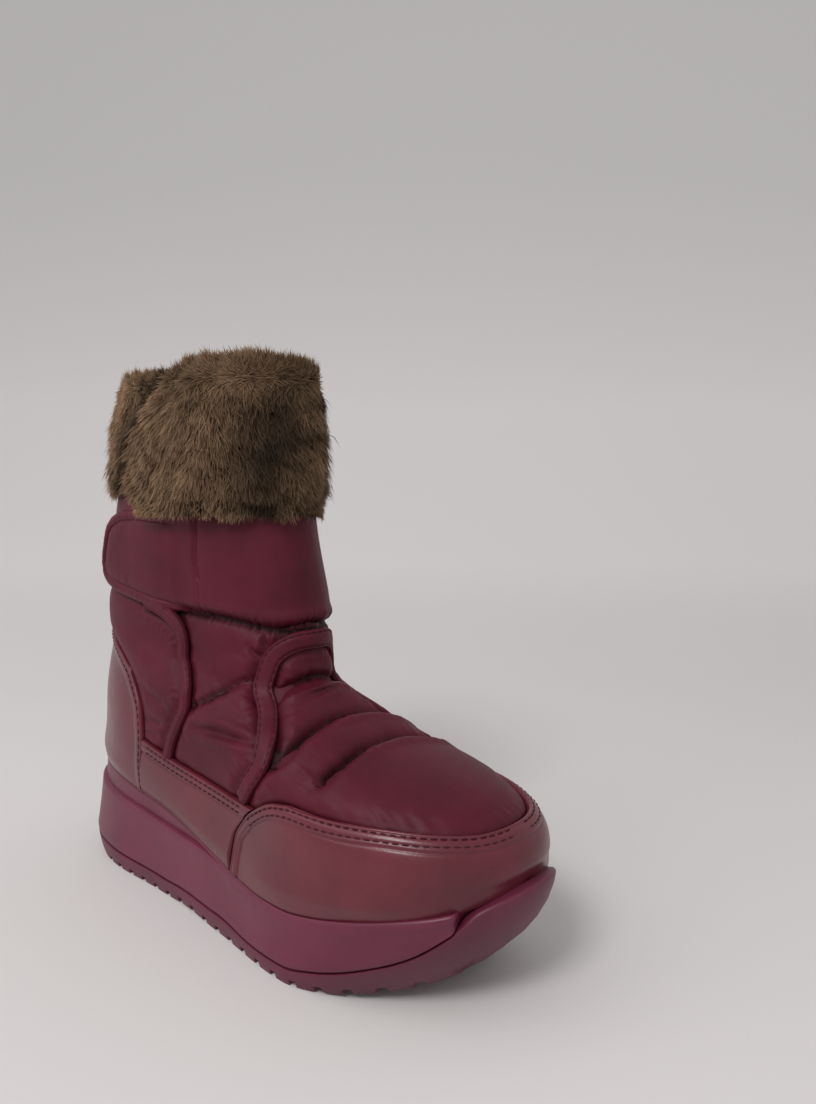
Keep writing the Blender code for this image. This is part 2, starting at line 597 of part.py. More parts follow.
def build_side_band(name, inner_side):
    share, along = grid(5, 8)
    level = PANEL_FOOT[1][1] + share * (BAND_TOP - PANEL_FOOT[1][1])
    rear = ease(COUNTER_FRONT, level) + EDGE_GAP
    front = ease(CAP_REAR, level) - EDGE_GAP
    turn = rear + along * (front - rear)
    if inner_side:
        turn = 360 - turn
    slab(name, turn, level, REST + 0 * turn, REST + LEATHER + 0 * turn, COATED, 0.4)


def ribbon(name, path, steps, width, thickness, colour, mirrored=False):
    """A strip of even width along a path of turns and levels, on to the inner side as well if mirrored."""
    rows = np.array(path, float)
    if mirrored:
        other = rows[-2::-1].copy()
        other[:, 0] = 360 - other[:, 0]
        rows = np.concatenate([rows, other])
    points = skin(rows[:, 0], rows[:, 1])
    reach = np.concatenate([[0], np.cumsum(np.linalg.norm(np.diff(points, axis=0), axis=1))])
    at = np.linspace(0, reach[-1], steps)
    turn = flow(np.column_stack([reach, rows[:, 0]]), at)
    level = flow(np.column_stack([reach, rows[:, 1]]), at)
    along = np.gradient(skin(turn, level), axis=0)
    across = np.cross(normal(turn, level), along)
    across /= np.linalg.norm(across, axis=-1, keepdims=True)
    sides = [shifted(turn, level, across * width * share) for share in (-0.5, 0.0, 0.5)]
    turn = np.stack([s[0] for s in sides])
    level = np.stack([s[1] for s in sides])
    crown = np.array([0.55, 1.0, 0.55])[:, None] + 0 * turn
    slab(name, turn, level, REST + 0 * turn, REST + thickness * crown, colour, 0.5)


def build_strap_tab():
    """The top band's rear end: it wraps back over the closure and its round end stands off the shaft."""
    share, along = grid(5, 15)
    turn = TAB_FRONT + (TAB_END - TAB_FRONT) * np.sin(along * np.pi / 2)
    lower, upper = ease(TAB_LOWER, turn), ease(TAB_UPPER, turn)
    level = lower + share * (upper - lower)
    lift = REST + TAB_LIFT * np.clip((70 - turn) / 36, 0, 1) ** 1.5
    crown = 0.62 + 0.38 * np.sin(np.pi * share)
    slab("strap_tab", turn, level, lift, lift + TAB_THICKNESS * crown, NYLON, 0.5)


def build_fur_cuff():
    """The cuff's strip, laid round the shaft and over its own end, with a lock drawn out of every outer face."""
    dice = np.random.default_rng(LOCK_SEED)
    offsets, heights = columns(CUFF_PROFILE)
    first = ease(CUFF_EDGE, heights)
    along = np.linspace(0, 1, CUFF_STEPS)[:, None]
    turn = first + along * (CUFF_END - first)
    down = np.clip((turn - CUFF_END + 360) / CUFF_EASE, 0, 1)
    over = 1 - down**2 * (3 - 2 * down)
    back = np.clip((turn - CUFF_BACK[0]) / (CUFF_BACK[1] - CUFF_BACK[0]), 0, 1)
    thin = 1 - (1 - CUFF_END_SHARE) * np.clip((turn - CUFF_BACK[1]) / 50, 0, 1)
    bottom = CUFF_BOTTOM + CUFF_BACK_RISE * back
    top = COLLAR_HEIGHT + CUFF_TOP_RISE
    z = bottom + (top - bottom) * heights
    level = level_at(turn, z)
    out = normal(turn, level)
    out[..., 2] = 0
    out /= np.linalg.norm(out, axis=-1, keepdims=True)
    clear = 3 * GAP + over * (CUFF_THICKNESS * CUFF_END_SHARE + 2 * GAP)
    points = skin(turn, level) + out * (clear + CUFF_THICKNESS * offsets * thin)[..., None]
    points[..., 2] = z
    steps, count = turn.shape
    flat = points.reshape(-1, 3)
    vertices = [tuple(p) for p in flat]
    faces = []
    for s in range(steps - 1):
        under = turn[s, 0] > CUFF_EDGE[0][1] + 350
        for k in range(count):
            quad = (s * count + k, s * count + (k + 1) % count,
                    (s + 1) * count + (k + 1) % count, (s + 1) * count + k)
            if k not in CUFF_LOCK_FACES or under:
                faces.append(quad)
                continue
            corners = flat[list(quad)]
            straight = np.cross(corners[1] - corners[3], corners[2] - corners[0])
            straight /= np.linalg.norm(straight)
            along_side = corners[3] - corners[0]
            lean = along_side / np.linalg.norm(along_side) * dice.uniform(-0.35, 0.35)
            lean[2] -= LOCK_FALL * dice.uniform(0.3, 1.0)
            tip = len(vertices)
            vertices.append(tuple(corners.mean(axis=0) + LOCK_LENGTH * dice.uniform(0.5, 1.0) * (straight + lean)))
            faces += [(a, b, tip) for a, b in zip(quad, quad[1:] + quad[:1])]
    for ring, turned in ((0, True), (steps - 1, False)):
        hub = len(vertices)
        vertices.append(tuple(points[ring].mean(axis=0)))
        for k in range(count):
            edge = (ring * count + k, ring * count + (k + 1) % count)
            faces.append((edge[1], edge[0], hub) if turned else (edge[0], edge[1], hub))
    add_piece("fur_cuff", vertices, faces, FUR, 0.95, sharp=30)


for old in list(bpy.data.objects):
    bpy.data.objects.remove(old, do_unlink=True)

build_outsole()
build_midsole()
build_insole()
build_upper()
build_heel_counter()
build_toe_cap()
build_side_band("side_band_outer", inner_side=False)
build_side_band("side_band_inner", inner_side=True)
ribbon("saddle_strip", SADDLE_PATH, 29, STRIP_WIDTH, STRIP_THICKNESS, NYLON, mirrored=True)
build_strap_tab()
ribbon("edge_binding", BINDING_PATH, 13, BINDING_WIDTH, BINDING_THICKNESS, NYLON)
build_fur_cuff()
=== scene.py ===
"""A snow boot for the right foot, empty on its sole: plum rubber sole, coated leather panels, padded wine-red
nylon with sewn channels, a strap tab on the outer side and a deep cuff of brown fur.

Lengths are metres. The turn, in degrees, runs round the boot seen from above: 0 heel, 90 outer side, 180 toe,
270 inner side. The level runs up the upper from 0 at the footbed, through 0.1 at the sole's edge, to 1 at the
collar. Shapes are worked out in stations, counted from the sole's rearmost point, and moved to the frame's
origin, the middle of the heel's flat spot, when they are put into a mesh.
"""

import bpy
import numpy as np
from mathutils import Matrix


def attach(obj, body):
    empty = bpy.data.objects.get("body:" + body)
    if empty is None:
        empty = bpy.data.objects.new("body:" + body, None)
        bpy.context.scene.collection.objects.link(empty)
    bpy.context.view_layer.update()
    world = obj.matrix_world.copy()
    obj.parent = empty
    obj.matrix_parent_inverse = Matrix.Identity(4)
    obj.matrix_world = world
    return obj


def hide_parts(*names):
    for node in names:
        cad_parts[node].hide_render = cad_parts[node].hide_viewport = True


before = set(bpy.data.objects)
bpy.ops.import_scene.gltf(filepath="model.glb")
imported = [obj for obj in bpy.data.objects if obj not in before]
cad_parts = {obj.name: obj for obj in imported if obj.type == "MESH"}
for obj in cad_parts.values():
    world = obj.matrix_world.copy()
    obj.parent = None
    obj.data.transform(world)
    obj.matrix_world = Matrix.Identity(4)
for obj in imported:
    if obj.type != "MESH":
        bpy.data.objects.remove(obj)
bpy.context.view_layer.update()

# The tread
# The real piece is a plate of harder rubber under the wedge, moulded with its lugs and with the bumper that
# climbs over the toe. It is glued to the wedge, which stands in it as in a tray.

LENGTH = 0.275
BALL_WIDTH = 0.097
SOLE_HEIGHT = 0.050
HEEL_SPOT = 0.055
TREAD_THICKNESS = 0.0045
TREAD_WALL = 0.0048
FLOOR_INSET = 0.004
SIDE_STEP = 0.0008
LUG_PITCH = 0.0112
LUG_GROOVE = 0.0034
LUG_DEPTH = 0.0026
LUG_FLANK = 0.00024         # what a groove's side leans over
LUG_FIRST = -3              # the groove nearest the heel, counted from the heel's spot
LUG_REACH = 0.93            # the grooves' share of the length
GAP = 0.0003

# Lines along the sole: station as a share of the length, height as a share of the sole's height
EDGE_LINE = (
    (0.000, 1.160), (0.029, 1.150), (0.051, 1.110), (0.087, 1.036), (0.138, 0.992), (0.189, 0.956),
    (0.240, 0.916), (0.291, 0.880), (0.335, 0.846), (0.396, 0.794), (0.473, 0.710), (0.545, 0.636),
    (0.585, 0.608), (0.633, 0.588), (0.687, 0.588), (0.742, 0.620), (0.793, 0.670), (0.873, 0.770),
    (0.945, 0.870), (0.975, 0.940), (1.000, 0.990))
GROUND_LINE = (
    (0.000, 0.220), (0.015, 0.170), (0.029, 0.120), (0.051, 0.064), (0.080, 0.022), (0.116, 0.000),
    (0.327, 0.000), (0.407, 0.024), (0.502, 0.000), (0.698, 0.000), (0.727, 0.008), (0.782, 0.040),
    (0.836, 0.096), (0.895, 0.190), (0.931, 0.290), (1.000, 0.520))
# The same, but the second column is a share of the way from the tray's floor to the sole's edge
TREAD_LINE = (
    (0.000, 0.106), (0.073, 0.113), (0.109, 0.118), (0.218, 0.093), (0.400, 0.084), (0.531, 0.127),
    (0.618, 0.080), (0.691, 0.080), (0.745, 0.150), (0.818, 0.254), (0.891, 0.390), (0.938, 0.610),
    (0.967, 0.905), (1.000, 0.985))
# Seen from above: turn, breadth in half ball widths for a sine of one
OUTLINE = (
    (0.0, 1.567), (22.5, 1.402), (45.0, 1.099), (67.5, 0.845), (90.0, 0.858), (112.5, 1.072),
    (135.0, 1.229), (157.5, 1.412), (180.0, 1.526))
# The middle line: station as a share of the length, sideways place in half ball widths
SWING = (
    (0.000, -0.039), (0.218, -0.035), (0.498, -0.021), (0.691, 0.006), (0.855, 0.062), (0.960, 0.120),
    (1.000, 0.132))
# Turn, how far the side is drawn in at its foot in half ball widths; then the same at its top
TUCK = (
    (0, 0.062), (45, 0.052), (67, 0.041), (90, 0.031), (112, 0.031), (122, 0.103), (135, 0.247),
    (157, 0.412), (180, 0.495))
TAPER = (
    (0, 0.144), (22, 0.124), (45, 0.082), (67, 0.037), (90, 0.021), (112, 0.016), (135, 0.006),
    (157, 0.000), (180, 0.000))
# Turn, the rise up to which the lower corner is round
CORNER_REACH = ((0, 0.30), (90, 0.28), (112, 0.35), (135, 0.75), (157, 1.00), (180, 1.00))
CORNER_POWER = 1.9          # how full the lower corner is
LEAN_START = 0.25           # the rise from which the side leans in
LEAN_POWER = 1.3
ROUND = 480                 # vertices round the sole, before the lugs' edges are added
RUNGS = 14                  # strips across the underside
LIP_ROUND = 0.0016
PLUM_RUBBER = (0.126, 0.0140, 0.0410)


def hermite(x, y, tangent, at):
    """Cubic between rows from their values and slopes: the four cubic blends of the two ends."""
    at = np.clip(np.asarray(at, float), x[0], x[-1])
    i = np.clip(np.searchsorted(x, at, side="right") - 1, 0, len(x) - 2)
    step = x[i + 1] - x[i]
    u = (at - x[i]) / step
    return (y[i] * (2 * u**3 - 3 * u**2 + 1) + y[i + 1] * (3 * u**2 - 2 * u**3)
            + tangent[i] * step * (u**3 - 2 * u**2 + u) + tangent[i + 1] * step * (u**3 - u**2))


def ease(table, at):
    """Monotone cubic through a table's rows: slopes are harmonic means, nought where the rows turn."""
    x, y = np.array(table, float).T[:2]
    step = np.diff(x)
    slope = np.diff(y) / step
    before, after = slope[:-1], slope[1:]
    keep = before * after > 0
    near = 2 * step[1:] + step[:-1]
    far = step[1:] + 2 * step[:-1]
    mean = (near + far) / np.where(keep, near / np.where(keep, before, 1) + far / np.where(keep, after, 1), 1)
    return hermite(x, y, np.concatenate([slope[:1], np.where(keep, mean, 0), slope[-1:]]), at)


def flow(table, at):
    """Smooth cubic through a table's rows, each slope the weighted mean of those on its two sides."""
    x, y = np.array(table, float).T[:2]
    step = np.diff(x)
    slope = np.diff(y) / step
    middle = (slope[:-1] * step[1:] + slope[1:] * step[:-1]) / (step[:-1] + step[1:])
    return hermite(x, y, np.concatenate([slope[:1], middle, slope[-1:]]), at)


def ramp(value, start, width):
    """0 up to the start, 1 from a width further on, and a straight line between."""
    return np.clip((value - start) / width, 0, 1)


def unit(vectors):
    """Vectors brought to length one."""
    return vectors / np.maximum(np.linalg.norm(vectors, axis=-1, keepdims=True), 1e-9)


def fold(turn):
    """The turn counted from the heel on either side, and the side: -1 outer, +1 inner."""
    whole = np.mod(np.asarray(turn, float), 360.0)
    return np.where(whole > 180, 360 - whole, whole), np.where(whole > 180, 1.0, -1.0)


def edge_height(x):
    """Height of the sole's upper edge at a station."""
    return SOLE_HEIGHT * ease(EDGE_LINE, x / LENGTH)


def ground_height(x):
    """Height of the sole's underside at a station: nought on the two flat spots."""
    return SOLE_HEIGHT * ease(GROUND_LINE, x / LENGTH)


def between_floor_and_edge(table, x):
    """A height given as a share of the way from the tray's floor to the sole's edge."""
    floor = ground_height(x) + TREAD_THICKNESS
    return floor + ease(table, x / LENGTH) * (edge_height(x) - floor)


def middle_line(x):
    """Sideways place of the foot's middle line at a station."""
    return BALL_WIDTH / 2 * flow(SWING, x / LENGTH)


def outline(turn):
    """The sole's widest line seen from above: cosine of the turn for length, table times sine for breadth."""
    folded, side = fold(turn)
    x = LENGTH * (1 - np.cos(np.radians(folded))) / 2
    breadth = BALL_WIDTH / 2 * flow(OUTLINE, folded) * np.sin(np.radians(folded))
    return np.stack([x, side * breadth + middle_line(x)], -1)


def outline_inset(turn, inset):
    """The outline moved in by a distance, square to itself."""
    along = unit(outline(np.asarray(turn) + 0.5) - outline(np.asarray(turn) - 0.5))
    inward = np.stack([-along[..., 1], along[..., 0]], -1)
    return outline(turn) + inward * np.asarray(inset)[..., None]


def half_ball(table, turn):
    """A table's value at a turn, in half ball widths."""
    return BALL_WIDTH / 2 * ease(table, fold(turn)[0])


def foot_line(turn, inset=0.0):
    """The sole's lower rim seen from above, moved in by an inset."""
    return outline_inset(turn, half_ball(TUCK, turn) + inset)


def rim_height(turn):
    """Height of the sole's lower rim."""
    return ground_height(foot_line(turn)[..., 0])


def sole_side(turn, rise, inset=0.0):
    """The sole's side, rise 0 at the ground line and 1 at the edge: a round corner, then a lean inwards."""
    folded = fold(turn)[0]
    corner = 1 - (1 - np.clip(rise / ease(CORNER_REACH, folded), 0, 1)) ** CORNER_POWER
    lean = ramp(rise, LEAN_START, 1 - LEAN_START) ** LEAN_POWER
    shift = half_ball(TUCK, turn) * (1 - corner) + half_ball(TAPER, turn) * lean
    plan = outline_inset(turn, shift + inset)
    low = rim_height(turn)
    z = low + (edge_height(outline(turn)[..., 0]) - low) * rise
    return np.concatenate([plan, z[..., None]], -1)


def side_rise(turn, height):
    """The rise on the sole's side that lies at a height above the floor."""
    low = rim_height(turn)
    return np.clip((height - low) / (edge_height(outline(turn)[..., 0]) - low), 0, 1)


def put_in(name, points, faces, sharp=38, maps=None):
    """Points and quads as a smooth object at the origin; maps holds per-point values, two or one wide."""
    points = np.asarray(points, float).reshape(-1, 3).copy()
    points[:, 0] -= HEEL_SPOT
    faces = np.asarray(faces, int).reshape(-1, 4)
    short = faces[:, 3] == faces[:, 2]
    corners = np.where(short[:, None] & (np.arange(4) == 3), -1, faces).ravel()
    corners = corners[corners >= 0]
    sizes = np.where(short, 3, 4)
    mesh = bpy.data.meshes.new(name)
    mesh.vertices.add(len(points))
    mesh.vertices.foreach_set("co", points.ravel())
    mesh.loops.add(len(corners))
    mesh.loops.foreach_set("vertex_index", corners)
    mesh.polygons.add(len(sizes))
    mesh.polygons.foreach_set("loop_start", np.concatenate([[0], np.cumsum(sizes)[:-1]]))
    mesh.polygons.foreach_set("loop_total", sizes)
    mesh.update()
    for key, values in (maps or {}).items():
        values = np.asarray(values, float)
        if values.ndim > 1 and values.shape[-1] == 2:
            layer = mesh.uv_layers.new(name=key)
            layer.data.foreach_set("uv", values.reshape(-1, 2)[corners].ravel())
        else:
            mesh.attributes.new(key, "FLOAT", "POINT").data.foreach_set("value", values.ravel())
    mesh.validate()
    mesh.shade_smooth()
    if sharp:
        mesh.set_sharp_from_angle(angle=np.radians(sharp))
    piece = bpy.data.objects.new(name, mesh)
    bpy.context.scene.collection.objects.link(piece)
    return piece


def weave_faces(rows, cols, wrap_rows=False, wrap_cols=False, start=0):
    """Quads of a grid of points, wrapped round where asked."""
    r = np.arange(rows if wrap_rows else rows - 1)[:, None]
    c = np.arange(cols if wrap_cols else cols - 1)[None, :]
    up, on = (r + 1) % rows, (c + 1) % cols
    quads = np.stack(np.broadcast_arrays(r * cols + c, r * cols + on, up * cols + on, up * cols + c), -1)
    return quads.reshape(-1, 4) + start


def rungs_across(ring, strips):
    """Points and quads that fill a ring with rungs across the foot, each straight between its two ends."""
    count = len(ring)
    half = count // 2
    left, right = ring[1:half], ring[:half:-1]
    share = np.arange(1, strips)[None, :, None] / strips
    inner = left[:, None] + (right - left)[:, None] * share
    rim = np.arange(1, half)[:, None]
    between = count + np.arange((half - 1) * (strips - 1)).reshape(half - 1, -1)
    order = np.concatenate([rim, between, count - rim], 1)
    quads = np.stack([order[:-1, :-1], order[1:, :-1], order[1:, 1:], order[:-1, 1:]], -1).reshape(-1, 4)
    heel = np.stack([0 * order[0, :-1], order[0, :-1], order[0, 1:], order[0, 1:]], -1)
    toe = np.stack([0 * order[-1, :-1] + half, order[-1, 1:], order[-1, :-1], order[-1, :-1]], -1)
    return inner.reshape(-1, 3), np.concatenate([quads, heel, toe])


def turned_over(faces):
    """Faces with their other side out; a triangle is held as a quad whose last corner comes twice."""
    short = faces[:, 2] == faces[:, 3]
    flipped = faces[:, ::-1].copy()
    flipped[short] = faces[short][:, [2, 1, 0, 0]]
    return flipped


def facing_out(points, faces):
    """A closed mesh's faces turned outwards, told by the sign of the volume: a third of point times area."""
    a, b, c, d = (points[faces[:, k]] for k in range(4))
    volume = (a * (np.cross(b, c) + np.cross(c, d))).sum()
    return turned_over(faces) if volume < 0 else faces


def cup_shell(name, rings, strips_first, strips_last, sharp=38):
    """A closed shell through rings that run up one side and down the other, its ends filled with rungs."""
    count = len(rings[0])
    points = np.concatenate(rings)
    faces = [weave_faces(len(rings), count, wrap_cols=True)]
    for number, start, strips in ((0, 0, strips_first), (-1, len(points) - count, strips_last)):
        inner, local = rungs_across(rings[number], strips)
        local = np.where(local < count, local + start, local - count + len(points))
        faces.append(local if number else turned_over(local))
        points = np.concatenate([points, inner])
    return put_in(name, points, facing_out(points, np.concatenate(faces)), sharp)


def finish_with(name, colour, roughness, **sockets):
    """A new material with its uniform values set on the shader's own sockets."""
    material = bpy.data.materials.new(name)
    material.use_nodes = True
    shader = material.node_tree.nodes["Principled BSDF"]
    shader.inputs["Base Color"].default_value = (*colour, 1.0)
    shader.inputs["Roughness"].default_value = roughness
    for socket, value in sockets.items():
        shader.inputs[socket.replace("_", " ")].default_value = value
    return material


def knot(material, kind, links=(), **values):
    """A node in a material: its values by socket or property name, and its inputs' links."""
    node = material.node_tree.nodes.new(kind)
    for key, value in values.items():
        if key in node.inputs:
            node.inputs[key].default_value = value
        else:
            setattr(node, key, value)
    for source, socket in links:
        material.node_tree.links.new(source, node.inputs[socket])
    return node


def tones(material, source, stops):
    """A value's colour on a scale of stops."""
    scale = knot(material, "ShaderNodeValToRGB", [(source, "Fac")])
    bar = scale.color_ramp
    while len(bar.elements) < len(stops):
        bar.elements.new(0.5)
    for element, (place, colour) in zip(bar.elements, stops):
        element.position = place
        element.color = (*colour, 1.0)
    return scale.outputs["Color"]


def colour_from(material, source, stops):
    """The shader's colour from a value on a scale of stops."""
    into_shader(material, tones(material, source, stops), "Base Color")


def bumps(material, heights):
    """Chained bump nodes: each a height output, a strength and a depth in metres."""
    last = None
    for height, strength, depth in heights:
        links = [(height, "Height")] + ([(last, "Normal")] if last else [])
        last = knot(material, "ShaderNodeBump", links, Strength=strength, Distance=depth).outputs["Normal"]
    into_shader(material, last, "Normal")


def into_shader(material, source, socket):
    """A link from a node's output to the shader's socket."""
    material.node_tree.links.new(source, material.node_tree.nodes["Principled BSDF"].inputs[socket])


def laid_between(material, source, low, high, **values):
    """A value between 0 and 1 laid between two limits."""
    limits = {"To Min": low, "To Max": high}
    return knot(material, "ShaderNodeMapRange", [(source, "Value")], **limits, **values).outputs["Result"]


def noise(material, place, scale, detail=2.0, roughness=0.5):
    """The value of a noise texture at a place."""
    return knot(material, "ShaderNodeTexNoise", [(place, "Vector")], Scale=scale, Detail=detail,
                Roughness=roughness).outputs["Fac"]


def object_place(material):
    """The piece's own coordinates, in metres."""
    return knot(material, "ShaderNodeTexCoord").outputs["Object"]


def shade(colour, factor):
    """A colour made darker or lighter by a factor."""
    return tuple(part * factor for part in colour)


def moulded_rubber(name, colour, roughness):
    """Satin rubber: cloudy tone, scuffs in the roughness, and the mould's fine skin as bump."""
    material = finish_with(name, colour, roughness, Specular_IOR_Level=0.42)
    place = object_place(material)
    cloud = noise(material, place, 22.0, 4.0, 0.6)
    skin_grain = noise(material, place, 1400.0)
    scuff = noise(material, place, 90.0, 6.0, 0.7)
    light = tuple(part + 0.004 for part in shade(colour, 1.14))
    colour_from(material, cloud, ((0.32, shade(colour, 0.84)), (0.68, light)))
    into_shader(material, laid_between(material, scuff, roughness - 0.07, roughness + 0.10), "Roughness")
    bumps(material, ((skin_grain, 0.25, 0.00012), (cloud, 0.25, 0.0006)))
    return material


def groove_here(x):
    """1 inside a groove between two lugs, 0 on a lug, by the distance from the nearest groove's middle."""
    number = np.round((x - HEEL_SPOT) / LUG_PITCH + 0.5)
    away = np.abs(x - HEEL_SPOT - (number - 0.5) * LUG_PITCH)
    inside = (number >= LUG_FIRST) & (number < LUG_FIRST + int(LUG_REACH * LENGTH / LUG_PITCH))
    return np.where(inside, ramp(-away, -LUG_GROOVE / 2 - LUG_FLANK / 2, LUG_FLANK), 0.0)


def lug_turns():
    """The turns round the sole, with extra ones where a groove's two walls meet the ground line's rim."""
    side = np.linspace(0, 180, ROUND // 2 + 1)
    fine = np.linspace(0, 180, 20001)
    change = np.where(np.diff(groove_here(foot_line(fine)[:, 0])) != 0)[0]
    apart = np.diff(change) > 3
    starts = change[np.concatenate([[True], apart])]
    ends = change[np.concatenate([apart, [True]])] + 1
    side = np.unique(np.concatenate([side, fine[starts], fine[ends]]))
    side = side[np.concatenate([[True], np.diff(side) > 0.012])]
    side[-1] = 180.0
    return np.concatenate([side, 360 - side[-2:0:-1]])


def tray_rings(turns, clearance, lift):
    """The inside of the tread's tray, floor first, moved in by a clearance and its floor up by a lift."""
    line = between_floor_and_edge(TREAD_LINE, outline(turns)[:, 0])
    plan = foot_line(turns, FLOOR_INSET + clearance)
    floor = rim_height(turns) + TREAD_THICKNESS + lift
    top = side_rise(turns, line)
    middle = sole_side(turns, 0.45 * top, TREAD_WALL + clearance)
    middle[:, 2] = np.maximum(middle[:, 2], floor + 0.3 * (line - floor))
    return [np.column_stack([plan, floor]), middle, sole_side(turns, top, TREAD_WALL + clearance)]


def tread_rings(turns):
    """The tread from its tray's floor up, over its rounded lip and down its side to the ground line."""
    line = between_floor_and_edge(TREAD_LINE, outline(turns)[:, 0])
    low = rim_height(turns)
    tall = line - low
    round_lip = np.clip(tall / 0.02, 0.35, 1) * LIP_ROUND
    lip = []
    for angle in np.radians((90, 68, 45, 22, 0)):
        rise = side_rise(turns, line - round_lip * (1 - np.sin(angle)))
        lip.append(sole_side(turns, rise, round_lip * (1 - np.cos(angle))))
    heights = [low + share * tall for share in (0.86, 0.68, 0.5, 0.34)]
    heights += [low + np.minimum(height, 0.3 * tall)
                for height in (0.0028, 0.0024, 0.0016, 0.0009, 0.0003, 0.0)]
    down = [sole_side(turns, side_rise(turns, height)) for height in heights]
    for ring in down:
        roof = ground_height(ring[:, 0]) + LUG_DEPTH
        ring[:, 2] = np.maximum(ring[:, 2], ring[:, 2] + groove_here(ring[:, 0]) * (roof - ring[:, 2]))
    return tray_rings(turns, 0.0, 0.0) + lip + down


sole_turns = lug_turns()
tread = cup_shell("tread", tread_rings(sole_turns), 2, RUNGS, sharp=30)
underside = np.empty(len(tread.data.vertices) * 3)
tread.data.vertices.foreach_get("co", underside)
rungs = underside.reshape(-1, 3)[-(len(sole_turns) // 2 - 1) * (RUNGS - 1):]
rung_x = rungs[:, 0] + HEEL_SPOT
rungs[:, 2] = ground_height(rung_x) + groove_here(rung_x) * LUG_DEPTH
tread.data.vertices.foreach_set("co", underside)
tread.data.update()
tread.data.materials.append(moulded_rubber("tread rubber", shade(PLUM_RUBBER, 0.86), 0.46))
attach(tread, "root")
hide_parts("outsole")

# The wedge
# One piece of foamed rubber, moulded with a collar band round the heel, a crease under that band and a
# bevelled rim that cups the upper. It stands in the tread's tray and the lasted upper is glued into it.

# Lines along the sole again: the crease's heights as in EDGE_LINE, the footbed's as in TREAD_LINE
STEP_LINE = (
    (0.000, 0.890), (0.029, 0.870), (0.087, 0.804), (0.138, 0.768), (0.240, 0.720), (0.335, 0.678),
    (0.440, 0.660), (0.491, 0.630), (0.545, 0.590))
STEP_END = 0.545
FOOTBED_LINE = (
    (0.036, 0.730), (0.145, 0.810), (0.291, 0.756), (0.436, 0.700), (0.582, 0.690), (0.727, 0.700),
    (0.855, 0.650), (0.953, 0.520))
RIM_BEVEL = 0.0014
HOLLOW = 0.0006             # how far the side curves in between tread and crease
BUMPER_MEETS = 0.0085       # where the bumper is this near to the edge, the wedge goes behind it
BUMPER_BLEND = 0.0035
LIP = ((0, 0.050), (112, 0.050), (135, 0.082), (157, 0.175), (180, 0.227))
LIP_FOOT = ((0, 0.020), (112, 0.030), (135, 0.060), (157, 0.100), (180, 0.110))
REST = 0.0008
# Key rings of the upper, which the wedge's cup follows too.
# Foot: level, rear station and height, front station and height, sag, five breadths.
# Shaft: level, rear station, depth, rear rise, front rise, five breadths.
ANKLE_HEIGHT = 0.138
INSTEP_HEIGHT = 0.1025
COLLAR_HEIGHT = 0.247
SHAFT_DEPTH = 0.131
SHAFT_WIDTH = 0.057
SHAFT_LEAN = 0.004
EDGE_LEVEL = 0.10
FOOT_RINGS = (
    (0.20, 0.0310, 0.536, 0.978, 0.551, -0.117, 1.216, 0.960, 0.784, 1.237, 1.567),
    (0.30, 0.0335, 0.674, 0.964, 0.644, -0.098, 1.155, 0.955, 0.788, 1.206, 1.485),
    (0.38, 0.0370, 0.768, 0.916, 0.707, -0.078, 1.113, 0.928, 0.773, 1.093, 1.320),
    (0.46, 0.0410, 0.841, 0.829, 0.761, -0.059, 1.072, 0.887, 0.753, 0.959, 1.113),
    (0.54, 0.0420, 0.906, 0.727, 0.829, -0.039, 1.040, 0.860, 0.736, 0.856, 0.990),
    (0.61, 0.0400, 0.957, 0.644, 0.902, -0.020, 1.005, 0.842, 0.708, 0.775, 0.907),
    (0.68, 0.0385, 1.000, 0.583, 1.000, -0.010, 0.975, 0.810, 0.675, 0.715, 0.866))
SHAFT_RINGS = (
    (0.75, 0.0450, 1.111, 0.064, 0.107, 1.600, 1.360, 1.130, 1.150, 1.330),
    (0.82, 0.0560, 1.090, 0.156, 0.260, 1.500, 1.270, 1.080, 1.120, 1.260),
    (0.90, 0.0800, 1.000, 0.431, 0.536, 1.368, 1.158, 1.000, 1.035, 1.158),
    (1.00, 0.1310, 0.878, 1.000, 1.000, 1.298, 1.105, 0.947, 0.982, 1.088))
RING_TURNS = (0, 45, 90, 135, 180)
KEY_LEVELS = np.array([0.0, EDGE_LEVEL] + [row[0] for row in FOOT_RINGS + SHAFT_RINGS])


def footbed_height(x):
    """Height of the footbed at a station."""
    return between_floor_and_edge(FOOTBED_LINE, x)


